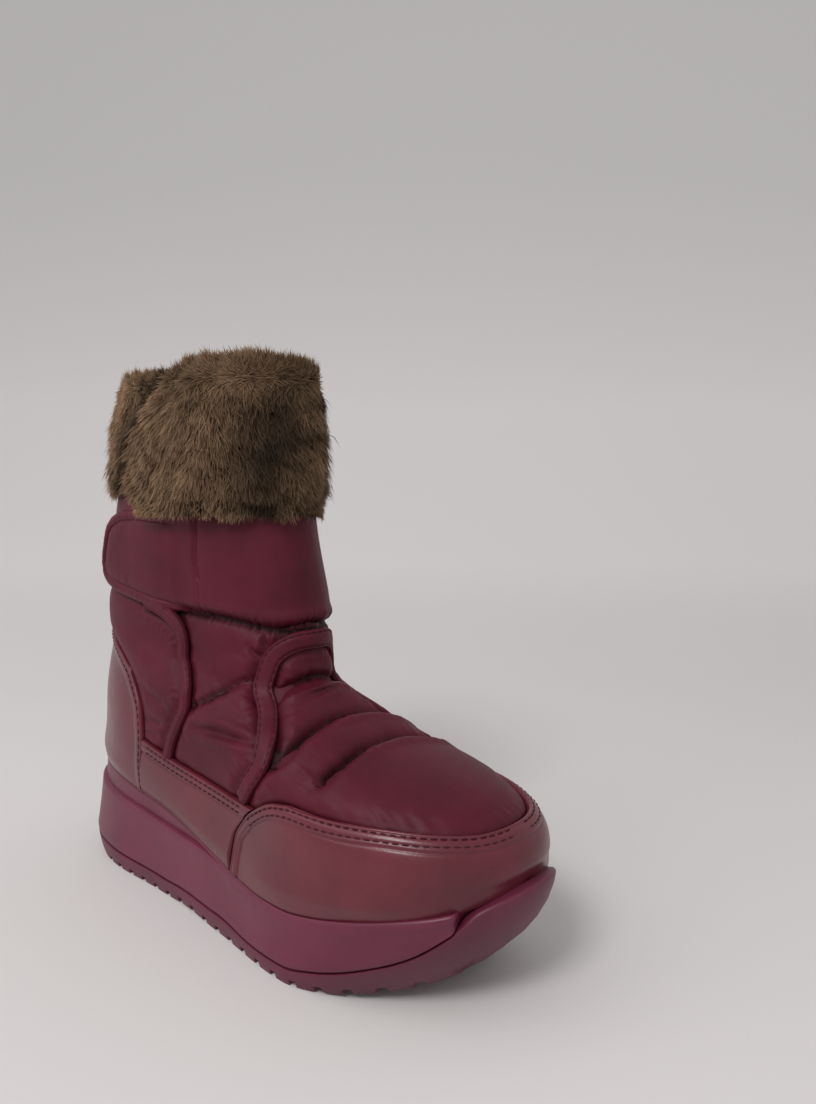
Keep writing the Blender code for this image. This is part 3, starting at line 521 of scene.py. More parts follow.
def key_rings(turn):
    """Every key ring's points at these turns: cosine of the turn for length, table times sine for breadth."""
    folded, side = fold(turn)
    angle = np.radians(folded)
    share = (1 - np.cos(angle)) / 2
    lip = outline_inset(turn, half_ball(TAPER, turn) + half_ball(LIP, turn))
    foot = outline_inset(turn, half_ball(TAPER, turn) + half_ball(LIP, turn) + half_ball(LIP_FOOT, turn))
    rings = [np.concatenate([foot, footbed_height(foot[..., :1]) + GAP], -1),
             np.concatenate([lip, edge_height(outline(turn)[..., :1])], -1)]
    for _, back, back_z, front, front_z, sag, *breadths in FOOT_RINGS:
        x = LENGTH * (back + (front - back) * share)
        low, high = back_z * ANKLE_HEIGHT, front_z * INSTEP_HEIGHT
        z = low + (high - low) * share + sag * INSTEP_HEIGHT * np.sin(np.pi * share)
        breadth = BALL_WIDTH / 2 * flow(tuple(zip(RING_TURNS, breadths)), folded) * np.sin(angle)
        fade = np.clip(1.36 - z / INSTEP_HEIGHT * 0.93, 0, 1)
        rings.append(np.stack([x, side * breadth + middle_line(x) * fade, z], -1))
    for _, back, depth, back_rise, front_rise, *breadths in SHAFT_RINGS:
        x = LENGTH * back + SHAFT_DEPTH * depth * share
        low = ANKLE_HEIGHT + back_rise * (COLLAR_HEIGHT - ANKLE_HEIGHT)
        high = INSTEP_HEIGHT + front_rise * (COLLAR_HEIGHT - INSTEP_HEIGHT)
        breadth = SHAFT_WIDTH / 2 * flow(tuple(zip(RING_TURNS, breadths)), folded) * np.sin(angle)
        lean = SHAFT_LEAN * np.clip(back_rise / 0.431, 0, 1)
        rings.append(np.stack([x, side * breadth - lean, low + (high - low) * share], -1))
    return np.stack(rings)


def skin(turn, level):
    """The upper's outer face: a smooth cubic up through the key rings at each turn."""
    turn, level = np.broadcast_arrays(np.asarray(turn, float), np.asarray(level, float))
    rings = key_rings(turn)
    last = len(KEY_LEVELS) - 1
    i = np.clip(np.searchsorted(KEY_LEVELS, level, side="right") - 1, 0, last - 1)

    def ring(k):
        return rings[(np.clip(k, 0, last),) + tuple(np.indices(level.shape))]

    def run(k):
        k = np.clip(k, 0, last - 1)
        return (KEY_LEVELS[k + 1] - KEY_LEVELS[k])[..., None]

    step = run(i)
    slope = (ring(i + 1) - ring(i)) / step
    before = np.where((i > 0)[..., None], (ring(i) - ring(i - 1)) / run(i - 1), slope)
    after = np.where((i < last - 1)[..., None], (ring(i + 2) - ring(i + 1)) / run(i + 1), slope)
    start = (before * step + slope * run(i - 1)) / (step + run(i - 1))
    end = (slope * run(i + 1) + after * step) / (step + run(i + 1))
    u = (level[..., None] - KEY_LEVELS[i][..., None]) / step
    return (ring(i) * (2 * u**3 - 3 * u**2 + 1) + ring(i + 1) * (3 * u**2 - 2 * u**3)
            + start * step * (u**3 - 2 * u**2 + u) + end * step * (u**3 - u**2))


def directions(turn, level):
    """How the skin moves with the turn and with the level, per degree and per unit of level."""
    low = np.clip(level - 0.004, 0, 1)
    high = np.clip(level + 0.004, 0, 1)
    with_turn = (skin(turn + 0.4, level) - skin(turn - 0.4, level)) / 0.8
    with_level = (skin(turn, high) - skin(turn, low)) / np.asarray(high - low)[..., None]
    return with_turn, with_level


def normal(turn, level):
    """Outward unit vector of the skin."""
    return unit(np.cross(*directions(turn, level)))


def raised(turn, level, offset):
    """The skin moved outwards by an offset along its normal."""
    turn, level = np.broadcast_arrays(np.asarray(turn, float), np.asarray(level, float))
    return skin(turn, level) + normal(turn, level) * np.asarray(offset)[..., None]


def smooth(share):
    """A share from 0 to 1 eased at both ends: three times its square less twice its cube."""
    return share**2 * (3 - 2 * share)


def wedge_rings(turns):
    """The wedge from its foot in the tray, over the tread's lip, up the side and over the rim to the cup."""
    x = outline(turns)[:, 0]
    line = between_floor_and_edge(TREAD_LINE, x)
    edge = edge_height(x)
    behind = smooth(ramp(line - edge, -BUMPER_MEETS, BUMPER_BLEND))[:, None]
    step_out = np.minimum(line + 2 * GAP, edge - 0.004)
    inner = tray_rings(turns, REST, GAP)
    low = side_rise(turns, step_out)
    step = side_rise(turns, SOLE_HEIGHT * ease(STEP_LINE, np.minimum(x / LENGTH, STEP_END)))
    step = np.where(x / LENGTH < STEP_END, step, low + 0.8 * (1 - low))
    fade = np.clip((STEP_END - x / LENGTH) / 0.1, 0, 1)
    band = SIDE_STEP * fade
    bevel = RIM_BEVEL / (edge - ground_height(x))
    outside = [sole_side(turns, low + share * (step - low), part * SIDE_STEP)
               for share, part in ((0, 1), (0.02, 0.75), (0.045, 0.2), (0.08, 0))]
    outside += [sole_side(turns, low + share * (step - low), HOLLOW * np.sin(np.pi * share))
                for share in (0.2, 0.34, 0.48, 0.62, 0.76, 0.88, 0.95)]
    creased_side = ((-0.012, 0, 0.0002), (0, 0, 0.0007), (0.012, 1, 0.0014), (0.03, 1, 0.0012))
    outside += [sole_side(turns, step + over, band * on_band + inset * fade)
                for over, on_band, inset in creased_side]
    for share in (0.12, 0.3, 0.5, 0.7, 0.9):
        rise = step + 0.03 + share * (1 - bevel - step - 0.03)
        outside.append(sole_side(turns, rise, band + 0.0010 * fade * (1 - share)))
    for angle in np.radians((0, 25, 50, 72, 90)):
        rise = 1 - bevel * (1 - np.sin(angle))
        outside.append(sole_side(turns, rise, band + RIM_BEVEL * (1 - np.cos(angle))))
    middle, top = inner[1], inner[2].copy()
    inner[2][:, 2] = step_out - behind[:, 0] * GAP
    for ring in inner[2:] + outside:
        share = (ring[:, 2] - middle[:, 2]) / (top[:, 2] - middle[:, 2])
        ring += behind * (middle + (top - middle) * share[:, None] - ring)
    cup = [raised(turns, EDGE_LEVEL, 0.0016), raised(turns, EDGE_LEVEL, GAP), raised(turns, 0, GAP)]
    cup[0][:, 2] = edge - 0.0002
    cup[1][:, 2] = edge - 0.0018
    cup[2][:, 2] = footbed_height(cup[2][:, 0])
    return inner + outside + cup


wedge_turns = np.arange(ROUND) * 360.0 / ROUND
wedge = cup_shell("wedge", wedge_rings(wedge_turns), 2, 2, sharp=45)
wedge.data.materials.append(moulded_rubber("sole rubber", PLUM_RUBBER, 0.40))
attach(wedge, "root")
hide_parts("midsole")

# The padded upper
# Woven nylon over fibre wadding, closed to one wall with its fleece lining. Seams are sewn through the
# wadding, so the cloth sinks at each and puffs between them. It is lasted under the leather panels.

UPPER_WALL = 0.0038
UPPER_TURNS = 430
# Lines on the skin: fronts and rears as level and turn, tops and paths as turn and level
COUNTER_FRONT = ((0.10, 62.0), (0.20, 61.0), (0.27, 61.5), (0.35, 61.5), (0.42, 60.0), (0.48, 57.0))
COUNTER_TOP = ((0, 0.560), (20, 0.560), (35, 0.550), (47, 0.525), (54, 0.500), (60, 0.470))
CAP_REAR = (
    (0.10, 95.5), (0.18, 97.0), (0.22, 99.5), (0.255, 102.0), (0.292, 106.0), (0.325, 111.5), (0.340, 117.0))
CAP_TOP = ((95, 0.340), (140, 0.340), (155, 0.328), (167, 0.319), (180, 0.320))
BAND_TOP = 0.272
SADDLE_PATH = (
    (99.5, 0.290), (106.5, 0.372), (117.5, 0.465), (130.5, 0.555), (142.0, 0.636), (147.0, 0.700),
    (153.5, 0.758), (164.0, 0.778), (180.0, 0.783))
BINDING_PATH = (
    (72.0, 0.266), (75.5, 0.345), (82.0, 0.430), (90.0, 0.510), (98.0, 0.590), (103.0, 0.670),
    (104.0, 0.715), (102.0, 0.748), (96.0, 0.771), (88.0, 0.781), (80.0, 0.784))
GATHER_LEVEL = 0.797
# Seams: depth, half-width, height of the puckers along it, their pitch and reach, then the path
SEAMS = (
    (0.0052, 0.0018, 0.0010, 0.0031, 0.004,
     ((0, 0.797), (60, 0.797), (101, 0.793), (128, 0.799), (153, 0.796), (180, 0.803))),
    (0.0078, 0.0024, 0.0006, 0.0070, 0.007,
     ((128, 0.412), (133, 0.436), (140, 0.470), (154, 0.515), (169.5, 0.545), (180, 0.549))),
    (0.0074, 0.0024, 0.0006, 0.0060, 0.007,
     ((114, 0.425), (123, 0.468), (136, 0.527), (157.5, 0.593), (170, 0.613), (180, 0.619))),
    (0.0064, 0.0024, 0.0006, 0.0060, 0.006, ((138, 0.640), (151.5, 0.672), (165.5, 0.705), (180, 0.716))),
    (0.0030, 0.0020, 0.0006, 0.0065, 0.006,
     ((85.5, 0.468), (100, 0.545), (118.5, 0.628), (132, 0.676), (145, 0.712))))
# Creases that the foot has left: path, depth, half-width
CREASES = (
    (((87.0, 0.417), (103.0, 0.465), (119.5, 0.500)), 0.0021, 0.0016),
    (((90.0, 0.440), (104.0, 0.487), (113.0, 0.505)), 0.0012, 0.0015),
    (((139.0, 0.766), (142.5, 0.753), (146.0, 0.748)), 0.0019, 0.0013),
    (((145.5, 0.790), (147.0, 0.775), (148.0, 0.766)), 0.0016, 0.0012),
    (((64.5, 0.446), (71.5, 0.435), (78.0, 0.443)), 0.0009, 0.0022),
    (((62.5, 0.330), (68.0, 0.346), (73.5, 0.362)), 0.0009, 0.0017),
    (((63.0, 0.300), (66.5, 0.306), (71.0, 0.315)), 0.0008, 0.0016),
    (((166.0, 0.655), (173.0, 0.668), (186.0, 0.675), (196.0, 0.668)), 0.0012, 0.0020),
    (((103.5, 0.735), (113.5, 0.718), (121.0, 0.690)), 0.0005, 0.0040),
    (((150.0, 0.570), (166.0, 0.585), (181.0, 0.583)), 0.0006, 0.0030),
    (((262.0, 0.470), (246.0, 0.500), (236.0, 0.505)), 0.0011, 0.0022),
    (((285.0, 0.600), (272.0, 0.640), (258.0, 0.655)), 0.0008, 0.0035),
    (((298.0, 0.700), (286.0, 0.735), (272.0, 0.745)), 0.0008, 0.0035),
)
VERTICAL_SEAM = ((113.5, 0.845), (112.5, 0.860), (113.5, 0.885), (113.5, 0.915))
BACK_SEAM = ((0.001, 0.560), (0.001, 0.640), (0.001, 0.720), (0.001, 0.797))
PAD = 0.0020                # the cloth's height over the skin
PUFF_WIDTH = 0.009          # how far from the leather the cloth is full
LEVEL_METRES = 0.245        # what one unit of level measures on the foot


def running(points):
    """Length run along a line of points, at each of them."""
    return np.concatenate([[0], np.cumsum(np.linalg.norm(np.diff(points, axis=0), axis=1))])


def along_path(rows, spacing=0.001):
    """A path of turns and levels resampled at even distances on the skin: turn, level, points and reach."""
    rows = np.array(rows, float)
    reach = running(skin(*rows.T))
    at = np.linspace(0, reach[-1], max(4, int(reach[-1] / spacing) + 1))
    turn, level = (flow(np.column_stack([reach, column]), at) for column in rows.T)
    points = skin(turn, level)
    return turn, level, points, running(points)


def mirrored(rows):
    """A path carried to the other side of the boot."""
    return tuple((360 - turn, level) for turn, level in rows)


def on_to_inner(rows):
    """A path that ends over the toe's middle, carried on as its mirror image down the inner side."""
    return tuple(rows) + mirrored(rows[-2::-1])


def on_both_sides(rows):
    """A seam's paths: one right across when it ends over the toe's middle, otherwise one on each side."""
    return [on_to_inner(rows)] if rows[-1][0] == 180 else [rows, mirrored(rows)]


def bell(distance, width):
    """A bell curve: e to the minus square of distance over width."""
    return np.exp(-((distance / width) ** 2))


def nearest(points, line, reach, limit=0.03):
    """Distance of each point to a line of points, and the reach along the line at the nearest of them."""
    flat = points.reshape(-1, 3)
    gap = np.full(len(flat), limit)
    at = np.zeros(len(flat))
    low, high = line.min(axis=0) - limit, line.max(axis=0) + limit
    close = np.where(((flat > low) & (flat < high)).all(axis=1))[0]
    for part in np.array_split(close, max(1, len(close) // 4000)):
        square = ((flat[part][:, None] - line[None]) ** 2).sum(-1)
        best = square.argmin(axis=1)
        gap[part] = np.minimum(np.sqrt(square[np.arange(len(part)), best]), limit)
        at[part] = reach[best]
    return gap.reshape(points.shape[:-1]), at.reshape(points.shape[:-1])


def from_path(points, rows):
    """Each point's distance to a path, how far along it that is, and the path's whole length."""
    _, _, line, reach = along_path(rows)
    return *nearest(points, line, reach), reach[-1]


def ripple(at, pitch, seed):
    """Uneven waves along a seam: three sines of nearby pitches, their phases drawn from the seed."""
    dice = np.random.default_rng(seed)
    phase = dice.uniform(0, 2 * np.pi, 4)
    wave = 2 * np.pi * at / pitch
    swell = 0.65 + 0.35 * np.sin(wave * 0.13 + phase[3])
    return swell * (0.55 * np.sin(wave + phase[0] + 1.2 * np.sin(wave * 0.17 + phase[1]))
                    + 0.45 * np.sin(wave * 0.61 + phase[2]))


def exchanged(rows):
    """A table's rows with their two columns exchanged."""
    return tuple((second, first) for first, second in rows)


def cover_top(folded):
    """Level of the leather's upper edge by folded turn: counter, band, then toe cap."""
    rear = exchanged(CAP_REAR)
    counter = ease(COUNTER_TOP, folded)
    front = np.array(COUNTER_FRONT)[::-1]
    edge = np.interp(folded, np.maximum.accumulate(front[:, 1]), front[:, 0])
    counter = np.where(folded > 57, np.minimum(counter, edge), counter)
    level = np.where(folded < 61.5, counter, BAND_TOP)
    cap = np.where(folded < 117, ease(rear, folded), ease(CAP_TOP, folded))
    return np.where(folded > 101, np.maximum(cap, BAND_TOP), level)


def counter_outline():
    """The counter's edge from the sole up its front and back over its top to the heel's middle."""
    return exchanged(COUNTER_FRONT) + ((54, 0.503), (47, 0.527), (35, 0.550), (20, 0.560), (0, 0.560))


def cap_outline():
    """The cap's edge from the sole up its rear and forward over its top to the toe's middle."""
    return exchanged(CAP_REAR) + ((128, 0.341), (140, 0.339), (155, 0.328), (167, 0.319), (180, 0.320))


def sewn_down(turn, level, points):
    """What the seams add to the cloth's height: a narrow and a wide bell, a roll beside them, and puckers."""
    folded = fold(turn)[0]
    height = 0.0
    for number, (depth, half, pucker, pitch, reach_out, rows) in enumerate(SEAMS):
        round_shaft = number == 0
        below = ramp(np.interp(folded, *np.array(rows).T), level, 0.004)
        for side, path in enumerate(on_both_sides(rows)):
            gap, at, total = from_path(points, path)
            ends = 1.0 if round_shaft else np.clip(np.minimum(at, total - at) / 0.008, 0.15, 1)
            roll = 0.30 * (1 - below if round_shaft else below) * bell(gap - 2.6 * half, 1.5 * half)
            height = height + ends * depth * (roll - 0.58 * bell(gap, half) - 0.42 * bell(gap, 3.2 * half))
            height = height + pucker * ripple(at, pitch, 11 + number * 3 + side) * bell(gap, reach_out)
            height = height + 0.5 * pucker * bell(gap, 0.6 * reach_out) * ripple(
                at + 0.4 * gap, pitch * 0.55, 40 + number)
    return height


def creased(points):
    """What the creases add: a bell inwards with a lower roll beside it, fading towards the ends."""
    height = 0.0
    for rows, depth, half in CREASES:
        gap, at, total = from_path(points, rows)
        end = np.clip(np.minimum(at, total - at) / (0.3 * total), 0.25, 1)
        height = height + depth * end * (0.55 * bell(gap - 2.1 * half, 1.2 * half) - bell(gap, half))
    return height


def pad_height(turn, level, points):
    """Height of the padded cloth over the skin, with its seams and creases, rounded at the leather."""
    folded = fold(turn)[0]
    band = ramp(level, GATHER_LEVEL, 0.03)
    height = PAD + 0.0007 * np.sin(np.radians(folded) * 3.1 + 8 * level) * ramp(level, 0.3, 0.1)
    height = height + 0.0006 * band - 0.0015 * band * ramp(folded, 135, 25)
    height = height + sewn_down(turn, level, points) + creased(points)
    for number, (rows, half, depth, waves) in enumerate((
            (on_to_inner(SADDLE_PATH), 0.0066, 0.0024, 0.0005), (BINDING_PATH, 0.0058, 0.0024, 0.0005),
            (VERTICAL_SEAM, 0.0014, 0.0012, 0.0), (BACK_SEAM, 0.0018, 0.0014, 0.0))):
        gap, at, _ = from_path(points, rows)
        if number == 0:
            rolls = ramp(folded, 122, 22) * ramp(level, 0.36, 0.08) * ramp(-level, -0.745, 0.03)
            height = height + 0.0024 * (rolls * ramp(gap, 0.0050, 0.006)) ** 0.7
        height = height - depth * np.exp(-((gap / half) ** 4))
        height = height + waves * ripple(at, 0.0055, 70 + number) * bell(gap - half - 0.002, 0.004)
    rise = (level - cover_top(folded)) * LEVEL_METRES
    for rows in (counter_outline(), cap_outline()):
        for path in (rows, mirrored(rows)):
            gap = from_path(points, path)[0]
            rise = np.where(gap < np.abs(rise), np.sign(rise) * gap, rise)
    edge_puff = np.sqrt(1 - (1 - ramp(rise, 0, PUFF_WIDTH)) ** 2)
    height = -0.0006 + (height + 0.0006) * edge_puff
    bunch = 0.0004 * ripple(folded * 0.0012, 0.0058, 91) * bell(rise - 0.004, 0.003)
    height = height + np.where(rise > 0, bunch, 0)
    return height * (1 - 0.92 * ramp(level, 0.905, 0.03))


def scaled(material, colour, factor):
    """A colour output multiplied by a value output."""
    return knot(material, "ShaderNodeVectorMath", [(colour, 0), (factor, "Scale")],
                operation="SCALE").outputs["Vector"]


def satin_nylon(name, colour):
    """Fine plain weave as bump on the cloth's own map, soft sheen, slow tone changes and painted shade where
    it sinks.
    """
    material = finish_with(name, colour, 0.46, Sheen_Weight=0.03, Sheen_Roughness=0.35,
                           Sheen_Tint=(0.95, 0.40, 0.50, 1.0), Specular_IOR_Level=0.17)
    place = object_place(material)
    cloth = knot(material, "ShaderNodeTexCoord").outputs["UV"]
    cloud = noise(material, place, 30.0, 5.0, 0.62)
    crush = noise(material, place, 120.0, 4.0)
    stretch = knot(material, "ShaderNodeMapping", [(cloth, "Vector")], Scale=(2600.0, 300.0, 1.0))
    warp = noise(material, stretch.outputs["Vector"], 1.0)
    both = knot(material, "ShaderNodeMath", operation="ADD")
    for number, (direction, scale) in enumerate((("X", 620.0), ("Y", 560.0))):
        lines = knot(material, "ShaderNodeTexWave", [(cloth, "Vector")], bands_direction=direction,
                     Scale=scale, Distortion=0.6)
        material.node_tree.links.new(lines.outputs["Fac"], both.inputs[number])
    tone = tones(material, cloud, ((0.30, shade(colour, 0.80)), (0.70, shade(colour, 1.20))))
    # Painted shade: the colour is darkened down to 0.22 of itself where the cloth sinks at seams and creases,
    # as if in shadow
    sunk = knot(material, "ShaderNodeAttribute", attribute_name="sunk").outputs["Fac"]
    painted_seam_shade = laid_between(material, sunk, 1.0, 0.22, interpolation_type="SMOOTHSTEP")
    into_shader(material, scaled(material, tone, painted_seam_shade), "Base Color")
    into_shader(material, laid_between(material, warp, 0.42, 0.56), "Roughness")
    bumps(material, ((both.outputs["Value"], 0.22, 0.00010), (warp, 0.18, 0.00012), (crush, 0.16, 0.0007)))
    return material


def cloth_map(points):
    """Map in metres along and across a grid: running lengths of its rows and columns."""
    steps = [np.linalg.norm(np.diff(points, axis=1 - k), axis=-1).mean(axis=k) for k in (0, 1)]
    return np.stack(np.meshgrid(*(np.concatenate([[0], np.cumsum(step)]) for step in steps)), -1)


wine_nylon = satin_nylon("wine nylon", (0.082, 0.0076, 0.0184))
shell_turn = np.arange(UPPER_TURNS) * 360.0 / UPPER_TURNS
shell_level = np.concatenate([[0.03, 0.10, 0.16], np.linspace(0.20, 0.86, 168), np.linspace(0.865, 1.0, 14)])
shell_turn, shell_level = np.meshgrid(shell_turn, shell_level)
bare = skin(shell_turn, shell_level)
shell_height = pad_height(shell_turn, shell_level, bare)
shell_outer = raised(shell_turn, shell_level, shell_height)
shell_outer[-1, :, 2] = COLLAR_HEIGHT
inner_level = np.array([1.0, 0.94, 0.86, 0.79, 0.72, 0.64, 0.55, 0.46, 0.36, 0.26, 0.16, 0.10, 0.03])
shell_inner = raised(shell_turn[:1], inner_level[:, None], 0.0008 - UPPER_WALL)
shell_inner[0, :, 2] = COLLAR_HEIGHT
shell_points = np.concatenate([shell_outer, shell_inner])
# Painted shade for the nylon's colour: how far the outer face sinks below its pad at seams and creases, up to
# the collar's fold
shell_seam_shade = np.zeros(shell_points.shape[:2])
shell_seam_shade[:len(shell_outer)] = ramp(-shell_height, -0.0013, 0.0040) * (shell_level < 0.9)
padded_upper = put_in("padded_upper", shell_points, weave_faces(*shell_points.shape[:2], True, True), sharp=0,
                      maps={"cloth": cloth_map(shell_points), "sunk": shell_seam_shade})
padded_upper.data.materials.append(wine_nylon)
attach(padded_upper, "root")
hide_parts("upper")

# The lining
# Brushed fleece, a loose bag inside the padded wall, sewn to it at the collar.

lining_turn, lining_level = np.meshgrid(np.arange(160) * 2.25, np.linspace(0.996, 0.05, 60))
fleece_wave = 0.0006 * np.sin(np.radians(lining_turn) * 9 + 30 * lining_level) * np.sin(40 * lining_level)
lining_face = raised(lining_turn, lining_level, -UPPER_WALL - 0.0011 + fleece_wave)
lining_back = raised(lining_turn[::-1], lining_level[::-1], -UPPER_WALL + 0.0002)
lining_points = np.concatenate([lining_face, lining_back])
lining = put_in("lining", lining_points, weave_faces(*lining_points.shape[:2], True, True), sharp=0)


def brushed_fleece(name, colour):
    """Short matted pile: coarse and fine noise as bump and tone, with a strong soft sheen."""
    material = finish_with(name, colour, 0.95, Sheen_Weight=0.6, Sheen_Roughness=0.5, Specular_IOR_Level=0.15)
    place = object_place(material)
    tufts = noise(material, place, 320.0, 4.0, 0.7)
    patches = noise(material, place, 60.0, 3.0)
    colour_from(material, tufts, ((0.3, shade(colour, 0.55)), (0.7, shade(colour, 1.5))))
    bumps(material, ((tufts, 0.8, 0.0012), (patches, 0.5, 0.002)))
    return material


fleece = brushed_fleece("lining fleece", (0.060, 0.040, 0.036))
lining.data.materials.append(fleece)
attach(lining, "root")

# The footbed cover
# The same fleece on a thin foam, cut to the footbed and laid in loose. It dips a little under heel and ball.

insole_turn = np.arange(200) * 1.8
insole_rings = []
for height, inset in ((0.0, 0.0002), (0.0006, 0.0), (0.0026, 0.0), (0.0033, 0.0004), (0.0035, 0.0014)):
    ring = raised(insole_turn, 0, -UPPER_WALL - 2 * GAP - inset)
    ring[:, 2] = footbed_height(ring[:, 0]) + GAP + height
    insole_rings.append(ring)
footbed_cover = cup_shell("footbed_cover", insole_rings, 8, 24, sharp=60)
footbed_cover.data.materials.append(fleece)
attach(footbed_cover, "root")
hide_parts("insole")

# The leather panels
# Coated leather, cut to shape, its free edges folded under and stitched down in two rows: a heel counter, a
# band low on each side and a cap round the toe. They are sewn on the nylon and lasted under the wedge's rim.

LEATHER = 0.0016
PANEL_FOOT = ((0, 0.1028), (90, 0.1026), (150, 0.1032), (180, 0.1060))
EDGE_GAP = 0.4              # degrees between the bands and their neighbours
DOME = 0.0024               # how far a panel swells over the foot
DOME_REACH = 0.016
TOE_FILL = 0.0036           # what the cap's foot stands out more, over the bumper's lip
STITCH_LENGTH = 0.0027
STITCH_GAP = 0.0010
STITCH_WIDTH = 0.00044


def pillow(name, top, bottom, sharp=0, maps=None):
    """A closed piece from two grids of points, sewn to each other all round the rim."""
    rows, cols = top.shape[:2]
    count = rows * cols
    faces = [weave_faces(rows, cols), weave_faces(rows, cols, start=count)[:, ::-1]]
    index = np.arange(count).reshape(rows, cols)
    rim = np.concatenate([index[0, :-1], index[:-1, -1], index[-1, :0:-1], index[:0:-1, 0]])
    after = np.roll(rim, -1)
    faces.append(np.stack([after, rim, rim + count, after + count], -1))
    points = np.concatenate([top.reshape(-1, 3), bottom.reshape(-1, 3)])
    maps = {key: np.concatenate([value.reshape(count, -1)] * 2) for key, value in (maps or {}).items()}
    return put_in(name, points, np.concatenate(faces), sharp, maps)


def beside(turn, level, across, distance):
    """Turns and levels a distance away along a unit vector that lies in the skin."""
    with_turn, with_level = directions(turn, level)
    aa, bb = (with_turn**2).sum(-1), (with_level**2).sum(-1)
    ab = (with_turn * with_level).sum(-1)
    a, b = (across * with_turn).sum(-1) * distance, (across * with_level).sum(-1) * distance
    area = aa * bb - ab**2
    return turn + (a * bb - b * ab) / area, level + (b * aa - a * ab) / area


def stitch_row(points, outward, seed=1, length=STITCH_LENGTH, spare=STITCH_GAP, width=STITCH_WIDTH):
    """Stitches along a line of points: each a six-sided spindle that dives into the cloth at both ends."""
    dice = np.random.default_rng(seed)
    reach = running(points)
    count = int(reach[-1] / (length + spare))
    start = (np.arange(count) + 0.5) * (length + spare) + dice.uniform(-0.1, 0.1, count) * spare
    at = start[:, None] + np.array([-0.5, -0.36, 0.0, 0.36, 0.5]) * length
    middle, up = (np.stack([np.interp(at, reach, line[:, k]) for k in range(3)], -1)
                  for line in (points, outward))
    up = unit(up)
    ahead = unit(middle[:, -1:] - middle[:, :1]) + 0 * middle
    side = np.cross(up, ahead)
    thick = width * np.array([0.35, 0.9, 1.0, 0.9, 0.35]) / 2
    sink = width * np.array([-0.6, 0.1, 0.35, 0.1, -0.6])
    angle = np.radians(np.arange(6) * 60)
    ring = (middle + up * sink[:, None])[:, :, None] + thick[:, None, None] * (
        np.cos(angle)[:, None] * side[:, :, None] + np.sin(angle)[:, None] * up[:, :, None])
    ends = [[0, 3, 2, 1], [0, 5, 4, 3], [24, 25, 26, 27], [24, 27, 28, 29]]
    local = np.concatenate([weave_faces(5, 6, wrap_cols=True), ends])
    faces = local[None] + (np.arange(count) * 30)[:, None, None]
    return ring.reshape(-1, 3), faces.reshape(-1, 4)


def sewn(name, rows):
    """Rows of stitches joined into one piece."""
    starts = np.cumsum([0] + [len(points) for points, _ in rows])
    faces = np.concatenate([face + start for (_, face), start in zip(rows, starts)])
    piece = put_in(name, np.concatenate([points for points, _ in rows]), faces, sharp=0)
    piece.data.materials.append(thread)
    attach(piece, "root")


def edge_row(rows, inset, height, seed, inner=False, start=0.001):
    """A stitch row beside a path on the skin, on the side away from the collar when the inset is positive."""
    turn, level, points, reach = along_path(rows, 0.0008)
    across = np.cross(normal(turn, level), unit(np.gradient(points, axis=0)))
    turn, level = beside(turn, level, across, -inset)
    if inner:
        turn = 360 - turn
    keep = (reach >= start) & (reach <= reach[-1] - 0.001)
    return stitch_row(raised(turn, level, height)[keep], normal(turn, level)[keep], seed)


def panel_height(gap, foot_gap, lines):
    """Thickness by distance from the free edge: rolled over, a folded border with sewn lines, then domed."""
    double = len(lines) > 1
    roll = np.sqrt(np.clip(1 - (1 - ramp(gap, 0, 0.0009)) ** 2, 0, 1))
    border = (0.0005 if double else 0.0002) * (1 - ramp(gap, 0.0052, 0.0008))
    line = sum(0.00035 * bell(gap - at, 0.00045) for at in lines)
    valley = (0.00045 if double else 0.0) * bell(gap - 0.0058, 0.0005)
    dome = DOME * (1 - np.exp(-(np.clip(gap - 0.006, 0, 1) / DOME_REACH) ** 1.4))
    return LEATHER * roll + roll * (border - line - valley) + dome * ramp(foot_gap, 0, 0.008) - 0.0002


def coated_leather(name, colour):
    """Smooth coated hide: pebble grain and pores as bump, cloudy tone, rubbed shine."""
    material = finish_with(name, colour, 0.30, Specular_IOR_Level=0.36, Coat_Weight=0.16, Coat_Roughness=0.22)
    place = object_place(material)
    pebble = knot(material, "ShaderNodeTexVoronoi", [(place, "Vector")], Scale=1150.0, feature="SMOOTH_F1")
    pores = noise(material, place, 2100.0, 3.0)
    cloud = noise(material, place, 26.0, 5.0, 0.6)
    crease = noise(material, place, 160.0, 5.0, 0.6)
    colour_from(material, cloud, ((0.32, shade(colour, 0.80)), (0.70, shade(colour, 1.22))))
    into_shader(material, laid_between(material, crease, 0.25, 0.39), "Roughness")
    bumps(material, ((pebble.outputs["Distance"], 0.30, 0.00016), (pores, 0.12, 0.00008),
                     (crease, 0.10, 0.0004)))
    return material


wine_leather = coated_leather("wine leather", (0.110, 0.0134, 0.0230))
thread = finish_with("dark thread", (0.022, 0.004, 0.007), 0.70, Specular_IOR_Level=0.2)
twist = noise(thread, object_place(thread), 2400.0)
colour_from(thread, twist, ((0.3, (0.028, 0.004, 0.008)), (0.7, (0.060, 0.009, 0.017))))
bumps(thread, ((twist, 0.5, 0.0001),))


def leather_panel(name, turn, level, node, lines=(0.0017, 0.0044), sides=True):
    """A panel on a grid of turns and levels, its height worked out from the distance to its free edges."""
    bare_points = skin(turn, level)
    line = bare_points[-1]
    if sides:
        line = np.concatenate([bare_points[:, 0], line, bare_points[::-1, -1]])
    gap = nearest(bare_points, line, np.arange(len(line)))[0]
    folded = fold(turn)[0]
    foot_gap = (level - ease(PANEL_FOOT, folded)) * 0.2
    height = panel_height(gap, foot_gap, lines) + TOE_FILL * ramp(folded, 128, 34) * bell(level - 0.10, 0.045)
    piece = pillow(name, raised(turn, level, REST + height), raised(turn, level, REST - 0.0009))
    piece.data.materials.append(wine_leather)
    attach(piece, "root")
    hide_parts(node)


def toward(fraction, power=2.0):
    """Shares from 0 to 1 packed towards 1."""
    return 1 - (1 - fraction) ** power


